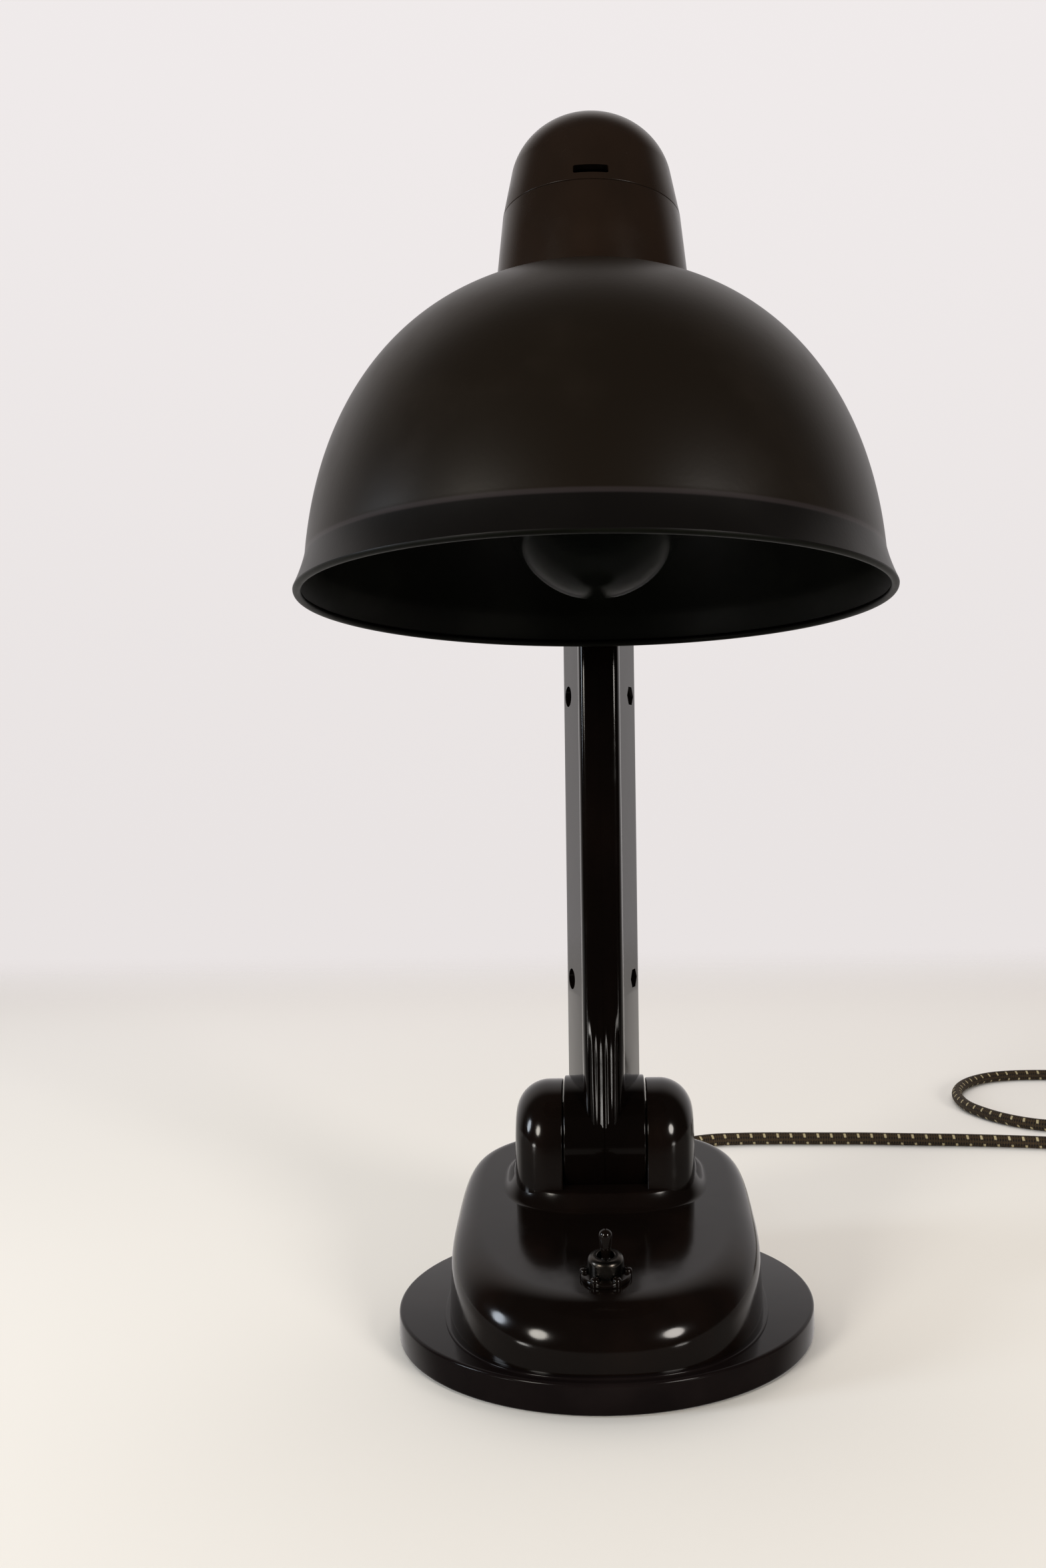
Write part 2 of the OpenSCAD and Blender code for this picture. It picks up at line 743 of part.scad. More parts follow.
module arm_half_body() {
    height = upper_z + cheek_r - lower_z + over;
    difference() {
        union() {
            intersection() {
                translate([0, hinge_y, lower_z]) linear_extrude(height) polygon(arm_outline());
                at_lower() rotate([90, 0, 90]) linear_extrude(arm_half + over) arm_side();
            }
            at_lower() bar_x(knuckle_r, 0, knuckle_half);
        }
        difference() {
            translate([0, hinge_y, lower_z - over])
                linear_extrude(fork_floor_z - arm_wall - lower_z) polygon(arm_hollow());
            at_lower() bar_x(knuckle_boss_r, 0, knuckle_half);
            for (z = [low_screw_z, high_screw_z]) translate([0, hinge_y + screw_behind, z])
                bar_x(boss_arm_r, 0, arm_half);
        }
        at_lower() difference() {
            bar_x(knuckle_r - knuckle_wall, -over, knuckle_half - knuckle_side);
            bar_x(knuckle_boss_r, -over, knuckle_half);
        }
        at_lower() translate([-over, 0, 0]) rotate([90, 0, 90]) linear_extrude(over + lead_hole_r)
            lead_window();
        at_lower() bar_x(bolt_r + run_gap, -over, knuckle_half + over);
        at_upper() bar_x(bolt_r + run_gap, -over, arm_half + over);
        translate([-over, hinge_y - nose_front - over, fork_floor_z])
            cube([over + fork_half, nose_front + arm_back + 2 * over, height]);
        translate([-over, hinge_y - nose_front + nose_wall, fork_floor_z - 2 * arm_wall])
            cube([over + lead_x + 2 * lead_r, 4 * lead_r, 3 * arm_wall]);
        for (z = [low_screw_z, high_screw_z]) translate([0, hinge_y + screw_behind, z])
            bar_x(arm_bolt_r + run_gap, -over, arm_half);
    }
}

module arm_left() {
    color(resin) mirror([1, 0, 0]) difference() {
        arm_half_body();
        for (z = [low_screw_z, high_screw_z]) translate([0, hinge_y + screw_behind, z])
            bar_x(recess_r, recess_floor, arm_half + over);
        at_upper() bar_x(nut_r + free_gap, arm_half - nut_t / 2, arm_half + over, 6);
    }
}

module arm_right() {
    color(resin) difference() {
        arm_half_body();
        for (z = [low_screw_z, high_screw_z]) translate([0, hinge_y + screw_behind, z])
            bar_x(recess_r, recess_floor, arm_half + over, 6);
        at_upper() bar_x(bolt_head_r + free_gap, arm_half - bolt_head_h / 2, arm_half + over);
    }
}

module arm_screws() {
    color(steel) for (z = [low_screw_z, high_screw_z]) translate([0, hinge_y + screw_behind, z])
        difference() {
            union() {
                bar_x(arm_bolt_r, -recess_floor, recess_floor + arm_nut_t, 32);
                bar_x(arm_head_r, -recess_floor - arm_head_h, -recess_floor, 32);
            }
            translate([-recess_floor - arm_head_h - over, -arm_head_r - over, -driver_slot_w / 2])
                cube([over + driver_slot_h, 2 * (arm_head_r + over), driver_slot_w]);
        }
}

module arm_nuts() {
    color(steel) for (z = [low_screw_z, high_screw_z]) translate([0, hinge_y + screw_behind, z])
        difference() {
            bar_x(arm_nut_r, recess_floor, recess_floor + arm_nut_t, 6);
            bar_x(arm_bolt_r + run_gap, 0, arm_half, 32);
        }
}

// Down the nose, then round the bolt's boss to the knuckle's slot
module arm_leads() {
    reach = nose_front - nose_wall - reed_depth - lead_r - seat_gap;
    color("#6b5a45") at_lower() for (x = [-lead_x, lead_x]) lead(concat(
        [[x, -reach, fork_floor_z - lower_z - lead_r]],
        [for (t = [0:30:120]) [x, -reach * cos(t), -reach * sin(t)]]
    ));
}

// Upper joint

module upper_pivot_bolt() {
    color(steel) at_upper() pivot_bolt(arm_half - bolt_head_h / 2, -arm_half - nut_t / 2, bolt_head_r, bolt_head_h);
}

module upper_pivot_nut() {
    color(steel) at_upper() difference() {
        bar_x(nut_r, -arm_half - nut_t / 2, -arm_half + nut_t / 2, 6);
        bar_x(bolt_r + run_gap, -arm_half - nut_t, 0);
    }
}

module upper_friction_washers() {
    side = fork_half - (joint_gap + washer_t) / 2;
    color("#7d5a3a") at_upper() for (m = [0, 1]) mirror([m, 0, 0]) difference() {
        bar_x(tongue_r - over, side, side + washer_t);
        bar_x(bolt_r + run_gap, 0, fork_half);
    }
}

// Head

// Outer radius of the dome at a height, and height of the dome at a radius
dome_rise = crown_h + dome_sink;
function dome_at(h) = dome_r * pow(1 - pow((h + dome_sink) / dome_rise, dome_power), 1 / dome_power);
function dome_h(r) = dome_rise * pow(1 - pow(r / dome_r, dome_power), 1 / dome_power) - dome_sink;

// The shade's outline from the rim up: a hollow flare to the crease, then the dome
function shade_outline(end_r) = concat(
    [for (k = [0:flare_steps]) let (s = k / flare_steps)
        [rim_r - flare_out * (s + flare_hollow_share * s * (1 - s)), crease_h * s]],
    [for (k = [1:dome_steps]) let (
        from = asin(pow((crease_h + dome_sink) / dome_rise, dome_power / 2)),
        to = acos(pow(end_r / dome_r, dome_power / 2)),
        t = from + (to - from) * k / dome_steps
    ) [dome_r * pow(cos(t), 2 / dome_power), dome_rise * pow(sin(t), 2 / dome_power) - dome_sink]]
);

module shade() {
    outer = shade_outline(hole_r);
    count = len(outer);
    // Each inner point lies one sheet thickness in along the outline's normal
    inner = [for (k = [count - 1:-1:0]) let (
        a = outer[max(k - 1, 0)], b = outer[min(k + 1, count - 1)], d = b - a, n = [-d[1], d[0]] / norm(d)
    ) outer[k] + sheet_t * n];
    color("#231a15") in_head() rotate_extrude($fn = 96) union() {
        polygon(concat(outer, inner));
        translate([rim_r - bead_r, 0]) circle(r = bead_r, $fn = 24);
    }
}

module shade_ring() {
    top = dome_h(ring_r) - sheet_t - free_gap;
    color(resin) in_head() translate([0, 0, top - ring_h]) difference() {
        cylinder(r = ring_r, h = ring_h);
        translate([0, 0, -over]) cylinder(r = holder_r + run_gap, h = ring_h + 2 * over);
    }
}

// The leads' groove under the horn, from inside the neck's back wall
module lead_groove(len, depth) {
    translate([-horn_groove_half, horn_root_y - 2 * neck_wall, horn_root_z - depth])
        cube([2 * horn_groove_half, len, depth]);
}

module horn() {
    tip_h = 2 * tongue_r * horn_tip_share;
    difference() {
        union() {
            hull() {
                translate([0, horn_root_y, horn_root_z]) rotate([90, 0, 0])
                    linear_extrude(neck_wall, center = true)
                    offset(r = neck_wall, $fn = 32)
                        square([horn_root_w - 2 * neck_wall, horn_root_h - 2 * neck_wall], center = true);
                translate([0, horn_narrow_y - tongue_half, upper_z]) rotate([90, 0, 0])
                    linear_extrude(tongue_half, center = true) offset(r = neck_wall, $fn = 32)
                        square([2 * (tongue_half - neck_wall), tip_h - 2 * neck_wall], center = true);
            }
            translate([-tongue_half, horn_narrow_y - tongue_half, upper_z - tip_h / 2])
                cube([2 * tongue_half, hinge_y - horn_narrow_y + tongue_half, tip_h]);
            at_upper() bar_x(tongue_r, -tongue_half, tongue_half);
        }
        lead_groove(horn_narrow_y - horn_root_y + 2 * neck_wall + over, horn_root_h);
    }
}

module neck() {
    inner_low = neck_foot_r - neck_wall;
    inner_high = seam_r - neck_wall;
    // The underside follows the dome
    under = [for (k = [0:4]) let (r = hole_r + (neck_foot_r - hole_r) * k / 4) [r, dome_h(r) + seat_gap]];
    color(resin) difference() {
        union() {
            in_head() rotate_extrude($fn = 96) polygon(concat(under, [
                [seam_r, seam_h], [inner_high - seat_gap, seam_h],
                [inner_high - seat_gap, seam_h + spigot_h],
                [inner_high - neck_wall / 2, seam_h + spigot_h],
                [inner_high - neck_wall / 2, seam_h - spigot_h],
                [inner_low, floor_top_h], [hole_r, floor_top_h]
            ]));
            horn();
        }
        // The neck's inside stays clear of the horn's root, and leads pass through its wall
        in_head() translate([0, 0, floor_top_h]) cylinder(
            r1 = inner_low, r2 = inner_high - neck_wall / 2, h = seam_h - spigot_h - floor_top_h, $fn = 96);
        lead_groove(5 * neck_wall, horn_root_z - upper_z + 4 * lead_r);
        at_upper() bar_x(bolt_r + run_gap, -tongue_half - over, tongue_half + over);
    }
}

module cap() {
    outer = concat(
        [[seam_r, seam_h], [skirt_r, seam_h + skirt_h]],
        [for (k = [1:cap_steps]) let (t = 90 * k / cap_steps)
            [skirt_r * cos(t), seam_h + skirt_h + cap_dome_h * sin(t)]]
    );
    inner = concat(
        [for (k = [cap_steps:-1:0]) let (t = 90 * k / cap_steps)
            [(skirt_r - neck_wall) * cos(t), seam_h + skirt_h + (cap_dome_h - neck_wall) * sin(t)]],
        [[skirt_r - neck_wall, seam_h + spigot_h + 2 * seat_gap],
         [seam_r - neck_wall, seam_h + spigot_h + 2 * seat_gap], [seam_r - neck_wall, seam_h]]
    );
    color(resin) in_head() difference() {
        rotate_extrude($fn = 96) polygon(concat(outer, inner));
        for (turn = [0, 180]) rotate([0, 0, turn])
            translate([-slot_w / 2, -seam_r - over, seam_h + slot_above_seam])
                cube([slot_w, 2 * neck_wall + over, slot_h]);
    }
}

// Insulating body with a flange on the neck's floor and a bore for the shell
module lamp_holder() {
    color("#d8d0c0") in_head() difference() {
        union() {
            translate([0, 0, holder_low]) cylinder(r = holder_r, h = holder_high - holder_low);
            translate([0, 0, floor_top_h]) cylinder(r = flange_r, h = flange_t);
        }
        translate([0, 0, holder_low - over]) cylinder(r = shell_r + seat_gap, h = shell_high - holder_low + over);
    }
}

module screw_shell() {
    color(brass) in_head() translate([0, 0, shell_low]) difference() {
        cylinder(r = shell_r, h = shell_high - shell_low);
        translate([0, 0, -over]) cylinder(r = shell_r - shell_t, h = shell_high - shell_low + 2 * over);
    }
}

module centre_contact() {
    color(brass) in_head() translate([0, 0, shell_high - contact_t]) cylinder(r = contact_r, h = contact_t, $fn = 32);
}

module holder_terminals() {
    color(brass) in_head() for (x = [-1, 1]) translate([x * holder_r / 2, 0, holder_high])
        cylinder(r = terminal_r, h = terminal_h, $fn = 24);
}

// From the holder's terminals over to the neck's back wall and along the horn's groove
module head_leads() {
    groove_z = upper_z - 2 * lead_r;
    term = [-rim_front + (holder_high + terminal_h) * sin(head_tilt),
            rim_z + (holder_high + terminal_h) * cos(head_tilt) + lead_r + seat_gap];
    // Behind the holder, where the leads go down
    drop_y = term[0] + holder_r;
    color("#6b5a45") for (side = [-1, 1]) lead([
        [side * holder_r / 2, term[0] - terminal_r, term[1]], [side * holder_r / 2, term[0] + terminal_r, term[1]],
        [side * lead_x, drop_y, term[1]], [side * lead_x, drop_y + 3 * lead_r, term[1] - 3 * lead_r],
        [side * lead_x, drop_y + 3.5 * lead_r, groove_z + 3 * lead_r],
        [side * lead_x, drop_y + 6 * lead_r, groove_z],
        [side * lead_x, horn_narrow_y - 2 * lead_r, groove_z]
    ]);
}

// Pear shape: a ball, and a cone that touches it and narrows to the neck
module bulb_profile(shrink) {
    r = bulb_r - shrink;
    high = shell_high - bulb_cap_len;
    neck_r = glass_neck_r - shrink;
    touch = atan2(high - bulb_h, neck_r) - acos(r / norm([neck_r, high - bulb_h]));
    intersection() {
        union() {
            translate([0, bulb_h]) circle(r = r);
            polygon([[0, bulb_h], r * [cos(touch), sin(touch)] + [0, bulb_h], [neck_r, high], [0, high]]);
        }
        translate([0, bulb_h - bulb_r]) square([bulb_r, 4 * bulb_r]);
    }
}

module bulb_glass() {
    color([0.9, 0.95, 1, 0.4]) in_head() difference() {
        rotate_extrude() bulb_profile(0);
        rotate_extrude() intersection() {
            bulb_profile(bulb_wall);
            square([bulb_r, shell_high - bulb_cap_len - 2 * bulb_wall]);
        }
    }
}

module bulb_cap() {
    color(steel) in_head() translate([0, 0, shell_high - bulb_cap_len]) {
        cylinder(r = cap_shell_r, h = bulb_cap_len - 3 * contact_t);
        translate([0, 0, bulb_cap_len - 3 * contact_t])
            cylinder(r1 = cap_shell_r, r2 = contact_r, h = 2 * contact_t - run_gap);
    }
}

// Cord

// Rings of a round tube along points; no stretch of it runs along the axis across
function tube_rings(path, r, sides, across = [0, 0, 1]) = [
    for (k = [0:len(path) - 1]) let (
        d = path[min(k + 1, len(path) - 1)] - path[max(k - 1, 0)],
        ahead = d / norm(d),
        side = cross(ahead, across) / norm(cross(ahead, across)),
        up = cross(ahead, side)
    ) [for (i = [0:sides - 1]) let (t = 360 * (i + 0.5) / sides)
        path[k] + r * (cos(t) * side + sin(t) * up)]
];

// A coil's point after a number of turns: it winds in, climbs a layer and winds out, clockwise from +Y
function coil_point(turn) = let (
    half = coil_turns / 2,
    r = coil_mid_r - coil_pitch * half / 2 + coil_pitch * abs(turn - half),
    s = min(max((turn - half) * 2 + 0.5, 0), 1),
    angle = 90 - 360 * turn
) [
    coil_centre_x + r * cos(angle), coil_centre_y + r * sin(angle),
    coil_floor_z + coil_layer * s * s * (3 - 2 * s)
];

function coil_path() = concat(
    [coil_point(0) - [cord_d, 0, 0]],
    [for (k = [0:coil_turns * rings_per_turn]) coil_point(k / rings_per_turn)],
    [coil_point(coil_turns) + [cord_d, 0, 0]]
);

function path_length(path) = len(path) < 2 ? 0
    : sum_of([for (k = [1:len(path) - 1]) norm(path[k] - path[k - 1])]);
function sum_of(list, k = 0) = k >= len(list) ? 0 : list[k] + sum_of(list, k + 1);

// The coil's least gap to itself, over pairs of points at least half a turn apart
function coil_gap() = let (path = coil_path(), skip = rings_per_turn / 2) min([
    for (i = [0:len(path) - 1]) for (j = [i + skip:1:len(path) - 1]) norm(path[i] - path[j])
]) - cord_d;

module cord() {
    color("#33281e") loft(tube_rings(CORD_ROUTE, cord_d / 2, cord_sides));
}

module cord_coil() {
    color("#33281e") loft(tube_rings(coil_path(), cord_d / 2, coil_sides));
}

module cord_tie() {
    inner = coil_mid_r - coil_pitch * coil_turns / 4 - cord_d / 2 - free_gap;
    outer = coil_mid_r + coil_pitch * coil_turns / 4 + cord_d / 2 + free_gap;
    low = coil_floor_z - cord_d / 2;
    high = coil_floor_z + coil_layer + cord_d / 2 + free_gap;
    color("#4a3d2e") translate([coil_centre_x, coil_centre_y, 0]) rotate([0, 0, -135]) difference() {
        translate([inner - tie_t, -tie_w / 2, low - tie_t])
            cube([outer - inner + 2 * tie_t, tie_w, high - low + 2 * tie_t]);
        translate([inner, -tie_w / 2 - over, low]) cube([outer - inner, tie_w + 2 * over, high - low]);
    }
}

function coil_exit() = coil_point(coil_turns) + [cord_d, 0, 0];

module cord_tail() {
    color("#33281e") loft(tube_rings(
        [for (s = [0:0.5:1]) coil_exit() + [tail_len * s, 0, 0]], cord_d / 2, coil_sides));
}

module at_plug() {
    translate(coil_exit() + [tail_len, 0, 0]) children();
}

module plug_body() {
    side = (plug_w - plug_t) / 2;
    color(resin) difference() {
        at_plug() {
            bar_x(plug_neck_r, 0, plug_neck_len);
            hull() {
                bar_x(plug_shoulder_r, plug_neck_len / 2, plug_neck_len, 32);
                for (y = [-side, side]) translate([0, y, 0])
                    bar_x(plug_t / 2 - free_gap, plug_neck_len, plug_neck_len + plug_len, 32);
            }
        }
        at_plug() for (y = [-1, 1]) translate([0, y * pin_gap / 2, 0])
            bar_x(pin_r + run_gap, plug_neck_len + plug_len - pin_root, plug_neck_len + plug_len + over, 32);
    }
}

module plug_pins() {
    face = plug_neck_len + plug_len;
    color(brass) at_plug() for (y = [-1, 1]) translate([0, y * pin_gap / 2, 0]) {
        bar_x(pin_r, face - pin_root, face + pin_len - pin_r, 32);
        translate([face + pin_len - pin_r, 0, 0]) sphere(r = pin_r, $fn = 32);
    }
}

echo(cord_length_mm = path_length(CORD_ROUTE), coil_length_mm = path_length(coil_path()), tail_mm = tail_len);
echo(coil_least_gap_mm = coil_gap());

felt_pad();
base_disc();
base_screws();
base_housing();
cord_gland();
base_leads();
switch_body();
switch_terminals();
switch_bushing();
switch_ring_nut();
switch_collar();
toggle_lever();
lower_pivot_bolt();
lower_pivot_nut();
lower_friction_washers();
arm_left();
arm_right();
arm_screws();
arm_nuts();
arm_leads();
upper_pivot_bolt();
upper_pivot_nut();
upper_friction_washers();
neck();
cap();
shade();
shade_ring();
lamp_holder();
screw_shell();
centre_contact();
holder_terminals();
head_leads();
bulb_glass();
bulb_cap();
cord();
cord_coil();
cord_tie();
cord_tail();
plug_body();
plug_pins();
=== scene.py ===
# %% [markdown]
# # A desk lamp of dark moulded resin
# The lamp is a weighted disc, a hollow moulded housing with a toggle switch, a two-part arm between
# two friction joints, and a spun steel shade under a moulded neck and cap. Its frame comes from a
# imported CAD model. Pieces whose shine would show the CAD model's flat facets are built again here,
# finer. Most of their outer surface lies within a millimetre of the CAD model's, but the nose's
# corners stand up to four millimetres off it. Every piece gets a finish made of nodes.

# %% Load the frame
import json
import math
import bmesh
import bpy
import numpy as np
from mathutils import Matrix, Vector


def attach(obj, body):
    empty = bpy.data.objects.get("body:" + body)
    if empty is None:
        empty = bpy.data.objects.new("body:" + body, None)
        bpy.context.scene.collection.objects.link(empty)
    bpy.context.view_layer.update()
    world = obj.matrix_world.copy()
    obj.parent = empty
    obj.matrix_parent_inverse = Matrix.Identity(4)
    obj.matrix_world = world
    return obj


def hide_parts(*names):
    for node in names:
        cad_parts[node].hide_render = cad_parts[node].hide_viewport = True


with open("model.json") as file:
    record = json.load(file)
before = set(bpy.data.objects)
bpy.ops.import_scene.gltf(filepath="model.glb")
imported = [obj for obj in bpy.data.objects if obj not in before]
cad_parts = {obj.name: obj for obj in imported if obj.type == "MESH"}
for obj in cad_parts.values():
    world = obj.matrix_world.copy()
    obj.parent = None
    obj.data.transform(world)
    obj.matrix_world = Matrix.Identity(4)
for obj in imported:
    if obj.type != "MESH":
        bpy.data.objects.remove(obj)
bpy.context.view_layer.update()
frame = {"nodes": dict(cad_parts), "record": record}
MM = 0.001

# %% [markdown]
# ## The camera
# The photograph was taken from half a metre in front of the lamp, nearly level. Its eye height and
# slight roll were found from the ellipses of the disc, the rim and the cap's seam. A camera could be
# aimed with a tracking constraint, but a roll is easier to set from its three axes, so the matrix is
# built from them.

# %% Camera
PHOTO_WIDTH, PHOTO_HEIGHT = 1568, 2351
FOCAL_PIXELS = 2000
CENTRE_PIXEL = (907, 1175.5)
EYE = Vector((2, -538.5, 214.4)) * MM
PITCH, ROLL = math.radians(-0.26), math.radians(-0.75)

ahead = Vector((0, math.cos(PITCH), -math.sin(PITCH)))
level_right = Vector((1, 0, 0))
level_up = level_right.cross(ahead)
right = math.cos(ROLL) * level_right + math.sin(ROLL) * level_up
up = math.cos(ROLL) * level_up - math.sin(ROLL) * level_right
camera = bpy.data.objects.new("camera", bpy.data.cameras.new("camera"))
bpy.context.scene.collection.objects.link(camera)
camera.matrix_world = Matrix.Translation(EYE) @ Matrix((right, up, -ahead)).transposed().to_4x4()
camera.data.lens = camera.data.sensor_width * FOCAL_PIXELS / PHOTO_HEIGHT
camera.data.shift_x = (PHOTO_WIDTH / 2 - CENTRE_PIXEL[0]) / PHOTO_HEIGHT
camera.data.shift_y = (CENTRE_PIXEL[1] - PHOTO_HEIGHT / 2) / PHOTO_HEIGHT
bpy.context.scene.camera = camera
print("lens, mm:", round(camera.data.lens, 2))

# %% [markdown]
# ## Shader maths
# A finish could be wired by hand in the node editor, but it is easier to read as a formula. `Wire`
# wraps the socket that a value comes out of, and each Python operator adds the Math node that does
# it. `Finish` starts a material, and its `node` method adds any other node: its settings first, then
# its sockets.

# %% Wires
def place(socket, value):
    """Links a Wire into a socket, or sets the socket's own value."""
    if isinstance(value, Wire):
        value.finish.tree.links.new(value.socket, socket)
    elif socket.type == "RGBA" and len(value) == 3:
        socket.default_value = (*value, 1)
    else:
        socket.default_value = value


class Wire:
    """A value that varies over a surface, written like a Python number."""

    def __init__(self, finish, socket):
        self.finish, self.socket = finish, socket

    def maths(self, operation, *values):
        """One Math node over the given values, or over this one when none is given."""
        sockets = dict(enumerate(values or (self,)))
        return self.finish.node("ShaderNodeMath", {"operation": operation}, sockets)

    def __add__(self, other):
        return self.maths("ADD", self, other)

    def __sub__(self, other):
        return self.maths("SUBTRACT", self, other)

    def __rsub__(self, other):
        return self.maths("SUBTRACT", other, self)

    def __mul__(self, other):
        return self.maths("MULTIPLY", self, other)

    def __truediv__(self, other):
        return self.maths("DIVIDE", self, other)

    __radd__ = __add__

    def step(self, low, high):
        """0 below low, 1 above high, and a smooth rise between them."""
        return self.finish.node("ShaderNodeMapRange", {"interpolation_type": "SMOOTHSTEP"},
                                {"Value": self, "From Min": low, "From Max": high})


print("a Wire can add, subtract, multiply, divide and step")

# %% Finishes
class Finish:
    """A material with one glossy shader, and the nodes that feed it."""

    def __init__(self, name, roughness=0.4, ior=1.45, **constants):
        self.material = bpy.data.materials.new(name)
        self.material.use_nodes = True
        self.tree = self.material.node_tree
        self.shader = self.tree.nodes["Principled BSDF"]
        self.set(Roughness=roughness, IOR=ior, **constants)

    def node(self, kind, settings=None, sockets=None, output=0):
        made = self.tree.nodes.new(kind)
        for setting, value in (settings or {}).items():
            setattr(made, setting, value)
        for socket, value in (sockets or {}).items():
            place(made.inputs[socket], value)
        return Wire(self, made.outputs[output])

    def coordinates(self):
        """Places on the piece, in metres in the lamp's own frame."""
        return self.node("ShaderNodeTexCoord", output="Object")

    def split(self, vector):
        """The three numbers of a vector."""
        made = self.tree.nodes.new("ShaderNodeSeparateXYZ")
        place(made.inputs[0], vector)
        return [Wire(self, socket) for socket in made.outputs]

    def rays(self, kind):
        """1 where a ray of this kind meets the surface, such as Camera or Glossy, and else 0."""
        return self.node("ShaderNodeLightPath", output=f"Is {kind} Ray")

    def noise(self, size_mm, detail=3, stretch=(1, 1, 1)):
        """Cloudy variation from 0 to 1, with blots of about size_mm."""
        places = self.node("ShaderNodeMapping", {}, {"Vector": self.coordinates(), "Scale": stretch})
        return self.node("ShaderNodeTexNoise", {}, {
            "Vector": places, "Scale": 1 / (size_mm * MM), "Detail": detail})

    def mix(self, factor, first, second):
        """A colour between two colours."""
        return self.node("ShaderNodeMix", {"data_type": "RGBA"}, {0: factor, 6: first, 7: second}, output=2)

    def set(self, **values):
        for socket, value in values.items():
            place(self.shader.inputs[socket.replace("_", " ")], value)

    def bump(self, height, depth_mm, strength):
        """Dents and lumps of about depth_mm, seen in the shine alone."""
        self.set(Normal=self.node("ShaderNodeBump", {}, {
            "Height": height, "Distance": depth_mm * MM, "Strength": strength}))


finishes = {}
print("finishes so far:", len(finishes))

# %% [markdown]
# ## Moulded resin
# Phenolic resin comes out of a polished steel mould, so it shines like glass, with a shallow
# waviness, faint brown clouds where the wood-flour filler shows, and decades of fine rubbing that
# make some places duller. One even black gloss would be simpler, but it would look like new plastic.
# The finish therefore varies its roughness more than its colour. The housing and the browner, duller
# neck and cap each have their own, and the arm has a blacker one, as painted shade for the shadow
# that the shade casts on it.

# %% Resin finishes
CLOUD_MM, RUBBING_MM, SPECK_MM, WAVE_MM, GRAIN_MM = 34, 11, 0.7, 16, 1.1


def resin_finish(name, dark, brown, polish, dull, ior):
    f = Finish(name, ior=ior)
    clouds = f.noise(CLOUD_MM, 5, stretch=(1, 1, 0.6)).step(0.42, 0.72)
    rubbed = f.noise(RUBBING_MM, 6).step(0.45, 0.8)
    specks = f.noise(SPECK_MM, 2).step(0.72, 0.8)
    f.set(Base_Color=f.mix(clouds * 0.75 + specks * 0.25, dark, brown))
    f.set(Roughness=polish + rubbed * (dull - polish))
    f.bump(f.noise(WAVE_MM, 2) + f.noise(GRAIN_MM, 2) * 0.03, depth_mm=0.10, strength=0.5)
    finishes[name] = f.material


resin_finish("bakelite", (0.0034, 0.0022, 0.0017), (0.0070, 0.0040, 0.0030), 0.115, 0.19, ior=1.32)
# The arm's blacker colours are painted shade for the shadow that the shade casts on it.
resin_finish("bakelite_arm_painted_shade", (0.0020, 0.0013, 0.0010), (0.0036, 0.0021, 0.0016), 0.10, 0.16, ior=1.27)
resin_finish("bakelite_brown", (0.0122, 0.0076, 0.0052), (0.0180, 0.0108, 0.0072), 0.24, 0.31, ior=1.21)
print("finishes:", sorted(finishes))

# %% [markdown]
# ## Enamel and shade paint
# The disc is cast iron under stove enamel, which is smooth. The shade's paint is satin with a fine
# orange peel. A painted highlight runs along the shade's crease, and painted shade darkens the flare
# below it. The line could be a separate strip of mesh, but a painted highlight has no edge. The
# finish therefore measures each place's height over the rim, along the leaning head's axis. The
# shade's inside was sprayed dark and has gone greenish.

# %% Enamel
enamel = Finish("base_enamel", ior=1.17)
enamel_clouds = enamel.noise(26, 4).step(0.4, 0.75)
enamel.set(Base_Color=enamel.mix(enamel_clouds, (0.0046, 0.0032, 0.0032), (0.0080, 0.0056, 0.0054)))
enamel.set(Roughness=0.13 + enamel.noise(9, 5).step(0.4, 0.8) * 0.08)
enamel.bump(enamel.noise(2.4, 3), depth_mm=0.012, strength=0.5)
finishes["base_enamel"] = enamel.material
print("finishes:", len(finishes))

# %% Shade paint
HEAD_PLACE, HEAD_LEAN = (0, -102, 277.2), math.radians(2.5)
CREASE_H, CREASE_SOFT, PAINTED_HIGHLIGHT_FROM, PAINTED_HIGHLIGHT_TO = 10.8, 0.6, 0.35, 1.1

paint = Finish("shade_paint", ior=1.23)
wear = paint.noise(30, 5).step(0.45, 0.8)
offset = paint.node("ShaderNodeVectorMath", {"operation": "SUBTRACT"},
                    {0: paint.coordinates(), 1: [v * MM for v in HEAD_PLACE]})
above_rim = paint.node("ShaderNodeVectorMath", {"operation": "DOT_PRODUCT"},
                       {0: offset, 1: (0, math.sin(HEAD_LEAN), math.cos(HEAD_LEAN))}, output="Value")
# Painted shade darkens the flare below the crease, and a pale line along the crease is a painted highlight.
painted_flare_shade = 1 - above_rim.step((CREASE_H - CREASE_SOFT) * MM, CREASE_H * MM)
off_crease = (above_rim - CREASE_H * MM).maths("ABSOLUTE")
painted_crease_highlight = 1 - off_crease.step(PAINTED_HIGHLIGHT_FROM * MM, PAINTED_HIGHLIGHT_TO * MM)
sheet_colour = paint.mix(wear, (0.0082, 0.0058, 0.0038), (0.0108, 0.0076, 0.0050))
sheet_colour = paint.mix(painted_flare_shade * 0.85, sheet_colour, (0.0026, 0.0024, 0.0024))
paint.set(Base_Color=paint.mix(painted_crease_highlight * 0.8, sheet_colour, (0.0230, 0.0185, 0.0190)))
paint.set(Roughness=0.36 + wear * 0.07)
paint.bump(paint.noise(1.3, 3) + paint.noise(14, 2) * 0.6, depth_mm=0.03, strength=0.5)
finishes["shade_paint"] = paint.material

